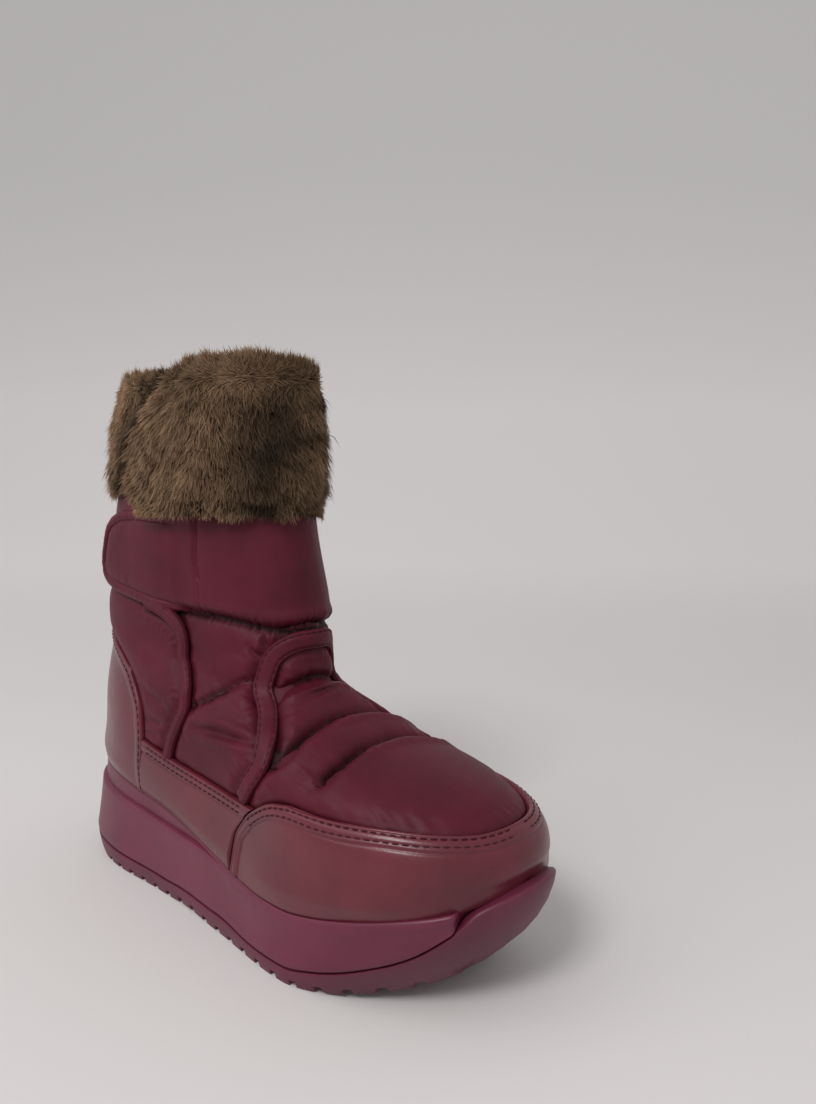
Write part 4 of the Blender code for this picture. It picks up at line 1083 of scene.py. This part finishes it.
def packed(rows, cols, power, first=-1):
    """A grid's shares up a panel, packed towards its top, and the places along it."""
    return np.meshgrid(toward(np.linspace(0, 1, rows), power), np.linspace(first, 1, cols), indexing="ij")


def around_end(name, node, grid, side_power, middle, side_edge, top, first_top, lines=(0.0017, 0.0044)):
    """A panel round the heel or the toe, from the foot up to its top edge and out to its two side edges."""
    share, around = grid
    around = np.sign(around) * toward(np.abs(around), side_power)
    guess = first_top[0] + share * (first_top[1] - first_top[0])
    turn = middle + around * np.abs(ease(side_edge, guess) - middle)
    foot = ease(PANEL_FOOT, fold(turn)[0])
    level = foot + share * (ease(top, fold(turn)[0]) - foot)
    leather_panel(name, turn, level, node, lines)


around_end("counter", "heel_counter", packed(64, 260, 1.7), 1.35, 0, COUNTER_FRONT, COUNTER_TOP,
           (PANEL_FOOT[0][1], COUNTER_TOP[-1][1]), lines=(0.0022,))
around_end("cap", "toe_cap", packed(60, 420, 1.7), 1.3, 180, CAP_REAR, CAP_TOP,
           (PANEL_FOOT[1][1], CAP_TOP[0][1]))

for name, node, inner in (("band_outer", "side_band_outer", False), ("band_inner", "side_band_inner", True)):
    share, along = packed(56, 130, 1.6, 0)
    level = PANEL_FOOT[1][1] + share * (BAND_TOP - PANEL_FOOT[1][1])
    rear = ease(COUNTER_FRONT, level) + EDGE_GAP
    ahead = ease(CAP_REAR, level) - EDGE_GAP
    turn = rear + along * (ahead - rear)
    if inner:
        turn, level = 360 - turn[:, ::-1], level[:, ::-1]
    leather_panel(name, turn, level, node, sides=False)

ON_PANEL = REST + LEATHER + 0.0002
BAND_EDGE = tuple((turn, BAND_TOP) for turn in (63.5, 74, 88, 101))
leather_rows = []
for inner in (False, True):
    for number, inset in enumerate((0.0017, 0.0044)):
        leather_rows.append(edge_row(cap_outline(), inset, ON_PANEL, 5 + number, inner, 0.030))
        leather_rows.append(edge_row(BAND_EDGE, inset, ON_PANEL, 9 + number, inner))
    leather_rows.append(edge_row(counter_outline(), -0.0022, ON_PANEL - 0.0002, 15, inner))
sewn("leather_stitches", leather_rows)

# The saddle strip
# A strip of folded nylon, sewn down along both sides, that runs from the band up over the instep and down the
# inner side. It covers the joint of vamp and shaft.

STRIP_WIDTH = 0.0085
STRIP_LIFT = 0.0006


def nylon_strip(name, node, rows, width, thick, seed=3, sewn_at=0.36):
    """A strip of even width along a path: its section is two soft rolls with a shallow dip between them."""
    turn, level, points, reach = along_path(rows, 0.0008)
    points = raised(turn, level, STRIP_LIFT)
    across = np.cross(normal(turn, level), unit(np.gradient(points, axis=0)))
    half = np.array([0.0, 0.08, 0.18, 0.27, 0.33, 0.38, 0.43, 0.47, 0.495, 0.5])
    shares = np.concatenate([-half[:0:-1], half])
    height = np.sqrt(np.clip(1 - (np.abs(shares) / 0.5) ** 12, 0, 1))
    height = height - 0.36 * bell(np.abs(shares) - sewn_at, 0.05) + 0.06 * np.cos(np.pi * shares)
    tops, bottoms = [], []
    swell = 0.00016 * ripple(reach, 0.0042, seed) + 0.00014 * ripple(reach, 0.013, seed + 1)
    for part, rise in zip(shares, height):
        t, v = beside(turn, level, across, part * width)
        rim = ramp(np.abs(part), 0.3, 0.2)
        tops.append(raised(t, v, STRIP_LIFT + thick * rise + swell * (0.4 + rim) * (1 - rim**6)))
        bottoms.append(raised(t, v, STRIP_LIFT - 0.0007))
    piece = pillow(name, np.stack(tops), np.stack(bottoms), maps={"cloth": cloth_map(np.stack(tops))})
    piece.data.materials.append(strip_nylon)
    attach(piece, "root")
    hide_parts(node)
    sewn_rows = []
    for number, part in enumerate((-sewn_at, sewn_at)):
        t, v = beside(turn, level, across, part * width)
        sewn_rows.append(stitch_row(raised(t, v, STRIP_LIFT + thick * 0.72), normal(t, v), seed + 20 + number,
                                    length=0.0026, width=0.00046))
    return sewn_rows


strip_nylon = satin_nylon("strip nylon", (0.084, 0.0089, 0.0202))
saddle_rows = nylon_strip("saddle", "saddle_strip", on_to_inner(SADDLE_PATH), STRIP_WIDTH, 0.0020)

# The strap tab
# The padded end of the closing strap. It wraps back over the outer side above the gathered seam and ends
# round, held by hook-and-loop tape under it; its free end stands off the shaft.

# The tab's two long sides: turn, level
TAB_LOWER = (
    (38, 0.830), (42, 0.802), (50, 0.786), (60, 0.780), (75, 0.781), (88, 0.783), (98, 0.788), (106, 0.794),
    (113.5, 0.798))
TAB_UPPER = ((38, 0.850), (42, 0.880), (50, 0.893), (60, 0.899), (75, 0.901), (113.5, 0.901))
TAB_END = 38
TAB_FRONT = 113.5
TAB_THICKNESS = 0.0034
TAB_FULL = 0.80             # how much of its thickness the tab keeps once it is sewn
TAB_LIFT = 0.0065
TAB_DEGREE = 0.00075        # what one degree of turn measures at the tab's front


def tab_lift(turn):
    """How far the tab's underside stands off the shaft: nothing in front, more towards its round end."""
    return REST + TAB_LIFT * ramp(-turn, -70, 36) ** 1.5


share, along = np.meshgrid(0.5 - 0.5 * np.cos(np.linspace(0, np.pi, 72)), np.linspace(0, 1, 190),
                           indexing="ij")
turn = TAB_FRONT + (TAB_END - TAB_FRONT) * np.sin(along * np.pi / 2)
lower, upper = ease(TAB_LOWER, turn), ease(TAB_UPPER, turn)
level = lower + share * (upper - lower)
bare = skin(turn, level)
tab_rim = np.concatenate([bare[0], bare[:, -1], bare[-1, ::-1]])
rim_gap, rim_at = nearest(bare, tab_rim, running(tab_rim))
behind_front = TAB_FRONT - turn
crown = np.sqrt(np.clip(1 - (1 - ramp(rim_gap, 0.0036, 0.009)) ** 2, 0, 1))
full = 0.55 + 0.45 * ramp(behind_front, 0, 22)
piping = 0.0009 * (1 - (1 - ramp(rim_gap, 0, 0.0012)) ** 2) * np.clip(behind_front / 6, 0.15, 1)
gather = 0.00014 * ripple(rim_at, 0.0085, 33) * bell(rim_gap - 0.007, 0.003)
drape = 0.0003 * np.sin(np.radians(turn) * 13 + 2) * bell(turn - 103, 13)
front_seam = 0.0006 * bell(behind_front * TAB_DEGREE, 0.0012) * np.clip((level - 0.84) / 0.03, 0.1, 1)
tab_height = tab_lift(turn) + piping + TAB_THICKNESS * TAB_FULL * full * crown + gather + drape - front_seam
on_shell = pad_height(turn, level, bare) + 0.0004 * np.clip(behind_front / 3, 0.1, 1)
tab_height = tab_height + smooth(ramp(turn, 97.5, 9)) * (on_shell - tab_height)
tab_top = raised(turn, level, tab_height)[:, ::-1]
tab_under = raised(turn, level, np.minimum(tab_lift(turn) - 0.0002, tab_height - 0.0008))[:, ::-1]
tab = pillow("tab", tab_top, tab_under, maps={"cloth": cloth_map(tab_top)})
tab.data.materials.append(wine_nylon)
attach(tab, "root")
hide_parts("strap_tab")

# The edge binding
# Folded nylon tape, sewn through: it closes the opening's edge from the band up to the tab. A narrower tape
# goes on along the tab's lower edge and round its end.

BINDING_WIDTH = 0.0065
TAPE_WIDTH = 0.0052
TAPE_THICKNESS = 0.0018
binding_rows = nylon_strip("binding", "edge_binding", BINDING_PATH, BINDING_WIDTH, 0.0021, seed=51,
                           sewn_at=0.32)


def tape_round(name, turn, level, lift):
    """Tape folded over an edge: a flat loop section carried along the edge, its face on top of the pad."""
    reach = running(raised(turn, level, lift))
    at = np.linspace(0, reach[-1], int(reach[-1] / 0.0008))
    turn, level, lift = (np.interp(at, reach, value) for value in (turn, level, lift))
    points = raised(turn, level, lift)
    out = normal(turn, level)
    across = np.cross(out, unit(np.gradient(points, axis=0)))
    section = ((0.00, 0.30), (0.06, 0.62), (0.30, 0.95), (0.62, 1.05), (0.86, 0.85), (0.99, 0.45),
               (1.02, 0.05), (0.90, -0.30), (0.60, -0.42), (0.25, -0.40), (0.02, -0.25), (-0.03, 0.05))
    swell = (1 + 0.07 * ripple(at, 0.0046, 77))[:, None]
    rings = np.stack([points + across * (0.15 - s) * TAPE_WIDTH + out * (h * TAPE_THICKNESS) * swell
                      for s, h in section])
    last, count = len(section) - 1, len(at)
    ends = np.array([[k, k + 1, last - 1 - k, last - k] for k in range(last // 2)])
    faces = np.concatenate([weave_faces(last + 1, count, wrap_rows=True), ends * count,
                            ends[:, ::-1] * count + count - 1])
    flat = rings.reshape(-1, 3)
    piece = put_in(name, flat, facing_out(flat, faces), sharp=0, maps={"cloth": cloth_map(rings)})
    piece.data.materials.append(strip_nylon)
    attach(piece, "root")
    sewn_line = points + across * (-0.47 * TAPE_WIDTH) + out * (0.90 * TAPE_THICKNESS)
    return stitch_row(sewn_line, out, 61, width=0.00042)


rim_turn = TAB_FRONT + (TAB_END - TAB_FRONT) * np.sin(np.linspace(0.13, 1, 140) * np.pi / 2)
low_level, high_level = ease(TAB_LOWER, rim_turn), ease(TAB_UPPER, rim_turn)
tape_turn = np.concatenate([rim_turn, np.full(6, TAB_END), rim_turn[::-1]])
end_level = np.linspace(low_level[-1], high_level[-1], 8)[1:-1]
tape_level = np.concatenate([low_level, end_level, high_level[::-1]])
tape_lift = tab_lift(tape_turn) + 0.0007 - 0.0030 * ramp(tape_turn, 92, 6) ** 1.5
tape_row = tape_round("tab_tape", tape_turn, tape_level, tape_lift)
sewn("nylon_stitches", saddle_rows + [binding_rows[0], tape_row])

seam_rows = []
for number, (*_, rows) in enumerate(SEAMS):
    for path in on_both_sides(rows):
        t, v, p, _ = along_path(path)
        sunk = pad_height(t[None], v[None], p[None])[0]
        seam_rows.append(stitch_row(raised(t, v, sunk + 0.0001), normal(t, v), 80 + number, length=0.0024,
                                    spare=0.0016, width=0.0005))
sewn("seam_stitches", seam_rows)

# The fur cuff
# A strip of fur cloth sewn to the collar and folded down over the shaft, its front end lapped over its rear
# end. The hair is long, brushed downwards, in clumps, brown with dark roots and some near-black patches.

CUFF_THICKNESS = 0.0065
CUFF_BOTTOM = 0.184
CUFF_BACK_RISE = 0.010
CUFF_EDGE = ((0.00, 86), (0.20, 82), (0.60, 87), (0.80, 94), (0.92, 102), (1.00, 109))
CUFF_END = 478
CUFF_END_SHARE = 0.6
CUFF_EASE = 45
CUFF_BACK = (330, 390)
CUFF_BACKING = 0.16         # the backing's thickness as a share of the cuff's
# The cuff's section: distance out and height, both as shares
CUFF_PROFILE = (
    (0.00, 0.04), (0.00, 0.16), (0.00, 0.28), (0.00, 0.40), (0.00, 0.52), (0.00, 0.64), (0.00, 0.75),
    (0.00, 0.86), (0.00, 0.95), (0.10, 0.985), (0.26, 1.00), (0.42, 0.985), (0.54, 0.95), (0.64, 0.89),
    (0.73, 0.81), (0.81, 0.71), (0.88, 0.60), (0.94, 0.49), (0.98, 0.38), (1.00, 0.28), (0.98, 0.18),
    (0.88, 0.08), (0.64, 0.02), (0.30, 0.00))
OUTER_FACE = 9              # the profile's point from which the hair starts
HAIR_LENGTH = 0.0100
HAIR_WIDTH = 0.00021
HAIR_COUNT = 150000
HAIR_PIECES = 5
HAIRS_PER_CLUMP = 34
LAP_END = CUFF_EDGE[0][1] + 366     # past this turn the strip lies under its own start


def level_at(turn, height):
    """The level on the shaft that lies at a height above the floor, found in four Newton steps."""
    level = 0.9 + 0 * turn
    for _ in range(4):
        level = level + (height - skin(turn, level)[..., 2]) / directions(turn, level)[1][..., 2]
        level = np.clip(level, 0.75, 1.0)
    return level


def cuff_backing(steps):
    """The cloth's strip as rings of its section: wound round the shaft, its start lapped over its end."""
    offsets, heights = np.array(CUFF_PROFILE).T
    first = ease(CUFF_EDGE, heights)
    turn = first + np.linspace(0, 1, steps)[:, None] * (CUFF_END - first)
    over = 1 - smooth(ramp(turn, CUFF_END - 360, CUFF_EASE))
    thin = 1 - (1 - CUFF_END_SHARE) * ramp(turn, CUFF_BACK[1], 50)
    bottom = CUFF_BOTTOM - 0.0005 + CUFF_BACK_RISE * ramp(turn, CUFF_BACK[0], CUFF_BACK[1] - CUFF_BACK[0])
    top = COLLAR_HEIGHT + 0.0008 + 0.0025 * bell(turn - 138, 38)
    z = bottom + (top - bottom) * heights
    level = level_at(turn, z)
    out = unit(normal(turn, level) * [1, 1, 0])
    low = ramp(-heights, -1.02, 0.35)
    clear = 0.0012 + 0.0010 * low + over * (0.0014 + 0.0046 * low)
    points = skin(turn, level) + out * (clear + CUFF_THICKNESS * CUFF_BACKING * offsets * thin)[..., None]
    points[..., 2] = z
    return turn, points


cuff_turn, cuff_points = cuff_backing(220)
steps, count = cuff_turn.shape
ring = np.arange(count)
end_fan = np.stack([ring, (ring + 1) % count, 0 * ring, 0 * ring], -1)
first_fan = end_fan[:, [1, 0, 2, 3]] + np.repeat([0, steps * count], 2)
last_fan = end_fan + np.repeat([(steps - 1) * count, steps * count + 1], 2)
cuff_flat = np.concatenate([cuff_points.reshape(-1, 3), cuff_points[[0, -1]].mean(axis=1)])
cuff_faces = np.concatenate([weave_faces(steps, count, wrap_cols=True), first_fan, last_fan])
backing = put_in("fur_backing", cuff_flat, cuff_faces, sharp=0)
hide = finish_with("fur backing", (0.020, 0.013, 0.009), 0.95, Specular_IOR_Level=0.1)
hide_pile = noise(hide, object_place(hide), 700.0, 3.0)
colour_from(hide, hide_pile, ((0.3, (0.010, 0.007, 0.005)), (0.7, (0.038, 0.024, 0.016))))
bumps(hide, ((hide_pile, 0.8, 0.001),))
backing.data.materials.append(hide)
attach(backing, "root")
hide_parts("fur_cuff")


def swirl(points, scale, seed):
    """Two smooth wandering values in space: sums of sines along seeded directions, about -1 to 1."""
    dice = np.random.default_rng(seed)
    total = np.zeros((len(points), 2))
    for _ in range(7):
        way = unit(dice.normal(size=3))
        phase = dice.uniform(0, 2 * np.pi, 2)
        pitch = scale * dice.uniform(0.7, 1.6)
        total += np.sin((points @ way)[:, None] * 2 * np.pi / pitch + phase)
    return total / 3.0


def hair_roots(amount, seed):
    """Roots spread evenly by area over the outer faces, with the backing's outward direction at each."""
    dice = np.random.default_rng(seed)
    rows, cols = np.meshgrid(np.arange(steps - 1), np.arange(OUTER_FACE, count - 1), indexing="ij")
    rows, cols = rows.ravel(), cols.ravel()
    a, b = cuff_points[rows, cols], cuff_points[rows, cols + 1]
    c, d = cuff_points[rows + 1, cols + 1], cuff_points[rows + 1, cols]
    face = np.cross(c - a, d - b)
    area = np.linalg.norm(face, axis=-1)
    on_top = np.where(cols < OUTER_FACE + 5, 2.5, 1.0)
    chance = np.where(cuff_turn[rows, 0] > LAP_END, 0.06, 1.0) * area * on_top
    pick = dice.choice(len(rows), amount, p=chance / chance.sum())
    u, v = dice.random((2, amount, 1))
    root = (a[pick] * (1 - u) + b[pick] * u) * (1 - v) + (d[pick] * (1 - u) + c[pick] * u) * v
    out = face[pick] / area[pick][:, None]
    centre = cuff_points.reshape(-1, 3).mean(axis=0)
    if ((root - centre) * out).sum() < 0:
        out = -out
    return root, out, cuff_turn[rows[pick], 0]


root, out, root_turn = hair_roots(HAIR_COUNT, 21)
dice = np.random.default_rng(22)
height = root[:, 2]
edge_turn = ease(CUFF_EDGE, ramp(height, CUFF_BOTTOM, COLLAR_HEIGHT - CUFF_BOTTOM))
from_edge = root_turn - edge_turn              # on the lap, degrees in from its free edge
to_edge = edge_turn + 360 - root_turn          # on the piece under it, degrees short of that edge
at_edge = bell(from_edge, 8)
under_edge = bell(np.maximum(to_edge - 18, 0), 10)
near_top = smooth(ramp(height, 0.222, 0.030))
facing_up = np.clip(out[:, 2], 0, 1)
broad, small = swirl(root, 0.040, 23), swirl(root, 0.011, 24)
fan = 0.45 * np.sin(np.radians(138 - root_turn)) + 0.6 * at_edge
aside = fan + 0.42 * broad[:, 0] + 0.30 * small[:, 0] + dice.normal(0, 0.34, HAIR_COUNT)
lean = unit(np.cross(out, [0, 0, 1.0])) * aside[:, None]
lean[:, 2] -= 1.0 - 1.9 * ramp(height, 0.237, 0.010)
lean += 0.55 * out * [1, 1, 0] * facing_up[:, None]
lean = unit(lean - out * (lean * out).sum(-1, keepdims=True))
length = HAIR_LENGTH * (0.88 + 0.12 * small[:, 1] + dice.normal(0, 0.17, HAIR_COUNT)).clip(0.35, 1.4)
length = length * (0.50 + 0.50 * ramp(height, CUFF_BOTTOM + 0.003, 0.014)) * (1 - 0.45 * under_edge)
upright = (0.78 + 0.12 * broad[:, 1] + 0.14 * small[:, 1] + dice.normal(0, 0.16, HAIR_COUNT)).clip(0.15, 1.3)
upright = upright * (1 - 0.62 * near_top * (1 - facing_up)) + 0.35 * near_top * facing_up
clumps = root[::HAIRS_PER_CLUMP]
clump_lean = dice.normal(0, 1.0, (len(clumps), 3)) * 0.0006
clumps = clumps[np.argsort(root_turn[::HAIRS_PER_CLUMP], kind="stable")]
pull = np.zeros_like(root)
by_turn = np.argsort(root_turn, kind="stable")
for part in np.array_split(np.arange(HAIR_COUNT), 120):
    first, last = (int(part[k] * (len(clumps) / HAIR_COUNT)) for k in (0, -1))
    nearby = slice(max(0, first - 60), last + 60)
    near, near_lean = clumps[nearby], clump_lean[nearby]
    here = by_turn[part]
    best = ((root[here][:, None] - near[None]) ** 2).sum(-1).argmin(axis=1)
    pull[here] = (near[best] - root[here]) * dice.uniform(0.0, 0.45, (len(here), 1)) + near_lean[best]
bend = np.array([0.0, 0.5, 1.0])[None, :, None]
rising = (out * upright[:, None])[:, None] * (1.35 * bend - 0.70 * bend**2)
leaning = (lean * (1 - 0.30 * near_top)[:, None])[:, None] * (0.30 * bend + 0.42 * bend**2)
strand = root[:, None] + length[:, None, None] * (rising + leaning) + pull[:, None] * bend**1.5
width = HAIR_WIDTH * dice.uniform(0.6, 1.4, (HAIR_COUNT, 1)) * np.array([1.0, 0.85])
blade = unit(np.cross(lean, out) + 0.45 * out * dice.normal(0, 1, (HAIR_COUNT, 1)))
across = blade[:, None] * width[..., None]
sides = np.stack([strand[:, :2] - across, strand[:, :2] + across], 2).reshape(HAIR_COUNT, 4, 3)
hair_points = np.concatenate([sides, strand[:, 2:]], 1)
hair_shape = np.array([[0, 1, 3, 2], [2, 3, 4, 4]])
along_hair = np.array([0, 0, 0.5, 0.5, 1.0])
# Near-black patches: middle as turn and height, half-sizes, strength
DARK_PATCHES = (
    (158, 0.215, 22, 0.024, 0.97), (157, 0.190, 24, 0.007, 0.88), (152, 0.236, 12, 0.008, 0.45),
    (98, 0.238, 7, 0.009, 0.40), (255, 0.215, 24, 0.018, 0.65), (330, 0.228, 20, 0.014, 0.60),
    (212, 0.236, 14, 0.010, 0.50))
wander = swirl(root, 0.020, 25)
patch_turn = np.mod(root_turn, 360) + 7 * wander[:, 0]
patch_height = height + 0.004 * wander[:, 1]
hair_tone_and_light = 0.50 + 0.50 * dice.random(HAIR_COUNT) + 0.14 * small[:, 0] + 0.10 * broad[:, 0]
for middle_turn, middle_height, half_turn, half_height, strength in DARK_PATCHES:
    away = (patch_turn - middle_turn + 180) % 360 - 180
    hair_tone_and_light = hair_tone_and_light * (1 - strength * bell(away, half_turn) * bell(patch_height - middle_height, half_height))
# Painted shade and light: hair on the piece under the lap is darkened near the lap's edge, as in its shadow;
# the lap's own edge is a little lighter, a painted highlight, and the hair towards the heel's back on the
# outer side is lighter, as lit from behind
hair_tone_and_light = 1.04 * hair_tone_and_light * (1 - 0.85 * under_edge) * (1 + 0.15 * at_edge) * (1 + 0.65 * bell(to_edge - 56, 22))
hair_tone_and_light = hair_tone_and_light.clip(0.05, 1.2)


def long_fur(name):
    """Hair by its map: dark root, brown body, lighter tip; each hair scaled by tone, dark patches and painted
    light.
    """
    material = finish_with(name, (0.085, 0.055, 0.040), 0.62, Specular_IOR_Level=0.10)
    hair_map = knot(material, "ShaderNodeTexCoord").outputs["UV"]
    parts = knot(material, "ShaderNodeSeparateXYZ", [(hair_map, "Vector")])
    browns = ((0.0, (0.016, 0.009, 0.005)), (0.35, (0.080, 0.047, 0.026)), (0.75, (0.190, 0.115, 0.066)),
              (1.0, (0.330, 0.215, 0.130)))
    body = tones(material, parts.outputs["X"], browns)
    # The map's second value: the hair's tone with its dark patches, and painted shade and light
    tone_and_light_scale = laid_between(material, parts.outputs["Y"], 0.05, 1.30)
    into_shader(material, scaled(material, body, tone_and_light_scale), "Base Color")
    return material


fur = long_fur("brown fur")
per_piece = HAIR_COUNT // HAIR_PIECES
order = np.argsort(root_turn, kind="stable")
for number in range(HAIR_PIECES):
    chosen = order[number * per_piece:(number + 1) * per_piece]
    faces = hair_shape[None] + (np.arange(per_piece) * 5)[:, None, None]
    hair_map = np.stack([np.broadcast_to(along_hair, (per_piece, 5)),
                         np.broadcast_to(hair_tone_and_light[chosen][:, None], (per_piece, 5))], -1)
    hair = put_in(f"fur_{number + 1}", hair_points[chosen], faces.reshape(-1, 4), sharp=0,
                  maps={"hair": hair_map})
    hair.data.materials.append(fur)
    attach(hair, "root")

# The studio
# A pale grey sweep of paper, curved up far behind the boot, a large soft light high in front on the left, a
# smaller one in front on the right, even light from all round, and the camera at the photograph's place.

SWEEP_START = 0.9           # behind the boot
SWEEP_BEND = 2.6
SWEEP_AHEAD = np.array([-0.668, 0.744])     # the way in which the camera looks, seen from above
SWEEP_ASIDE = np.array([0.744, 0.668])


def paper_sweep():
    """Floor and wall in one: a straight run, a quarter circle, a straight rise, carried sideways."""
    floor_part = np.stack([np.linspace(-1.6, SWEEP_START, 16), np.zeros(16)], -1)
    angle = np.linspace(0, np.pi / 2, 48)[1:]
    bend_part = np.stack([SWEEP_START + SWEEP_BEND * np.sin(angle), SWEEP_BEND * (1 - np.cos(angle))], -1)
    wall_part = np.stack([np.full(8, SWEEP_START + SWEEP_BEND), np.linspace(SWEEP_BEND, 4.6, 9)[1:]], -1)
    section = np.concatenate([floor_part, bend_part, wall_part])
    plan = section[:, None, :1] * SWEEP_AHEAD + np.linspace(-4, 4, 12)[None, :, None] * SWEEP_ASIDE
    return np.concatenate([plan, np.broadcast_to(section[:, None, 1:], plan.shape[:2] + (1,))], -1)


paper_points = paper_sweep()
paper_points[..., 0] += HEEL_SPOT
paper = put_in("paper", paper_points, weave_faces(*paper_points.shape[:2])[:, ::-1], sharp=0,
               maps={"run": ramp(paper_points[..., :2] @ SWEEP_AHEAD, 0.3, 3)})
paper_white = finish_with("paper", (0.58, 0.56, 0.55), 0.85, Specular_IOR_Level=0.2)
paper_run = knot(paper_white, "ShaderNodeAttribute", attribute_name="run")
paper_grain = noise(paper_white, object_place(paper_white), 3.0, 3.0)
paper_grain_and_light = knot(paper_white, "ShaderNodeMath", [(paper_grain, 0), (paper_run.outputs["Fac"], 2)],
                  operation="MULTIPLY_ADD")
paper_grain_and_light.inputs[1].default_value = 0.02
# Painted light: the paper's colour is darker near the boot, paler up the bend and darker again high on the
# wall, standing in for how the lamps' light falls along the sweep; the grain adds a slight random tone
colour_from(paper_white, paper_grain_and_light.outputs["Value"], (
    (0.0, (0.665, 0.645, 0.645)), (0.35, (0.86, 0.835, 0.835)), (0.7, (0.89, 0.865, 0.865)),
    (1.0, (0.76, 0.745, 0.745))))
paper.data.materials.append(paper_white)


def soft_light(name, place, aim, size, watts):
    """A square area light turned towards a point."""
    lamp = bpy.data.lights.new(name, "AREA")
    lamp.shape = "SQUARE"
    lamp.size = size
    lamp.energy = watts
    lamp.color = (1.0, 0.985, 0.97)
    thing = bpy.data.objects.new(name, lamp)
    place, aim = np.array(place, float), np.array(aim, float)
    back = unit(place - aim)
    right = unit(np.cross([0, 0, 1.0], back))
    up = np.cross(back, right)
    thing.matrix_world = Matrix([(right[k], up[k], back[k], place[k]) for k in range(3)] + [(0, 0, 0, 1)])
    bpy.context.scene.collection.objects.link(thing)


soft_light("key", (-0.60, -1.05, 1.30), (0.06, 0.0, 0.12), 1.3, 5.5)
soft_light("front", (0.38, -0.98, 1.16), (0.14, 0.0, 0.03), 0.45, 10.5)

world = bpy.data.worlds.new("studio air")
world.use_nodes = True
world.node_tree.nodes["Background"].inputs["Color"].default_value = (0.95, 0.94, 0.935, 1.0)
world.node_tree.nodes["Background"].inputs["Strength"].default_value = 0.61
bpy.context.scene.world = world
bpy.context.scene.view_settings.view_transform = "Standard"

eye = bpy.data.cameras.new("eye")
eye.lens = 26.8
eye.sensor_width = 36.0
eye.clip_start = 0.01
camera = bpy.data.objects.new("eye", eye)
camera.location = (0.3798, -0.2453, 0.1920)
camera.rotation_euler = (np.radians(86.01278), 0.0, np.radians(41.91822))
bpy.context.scene.collection.objects.link(camera)
bpy.context.scene.camera = camera
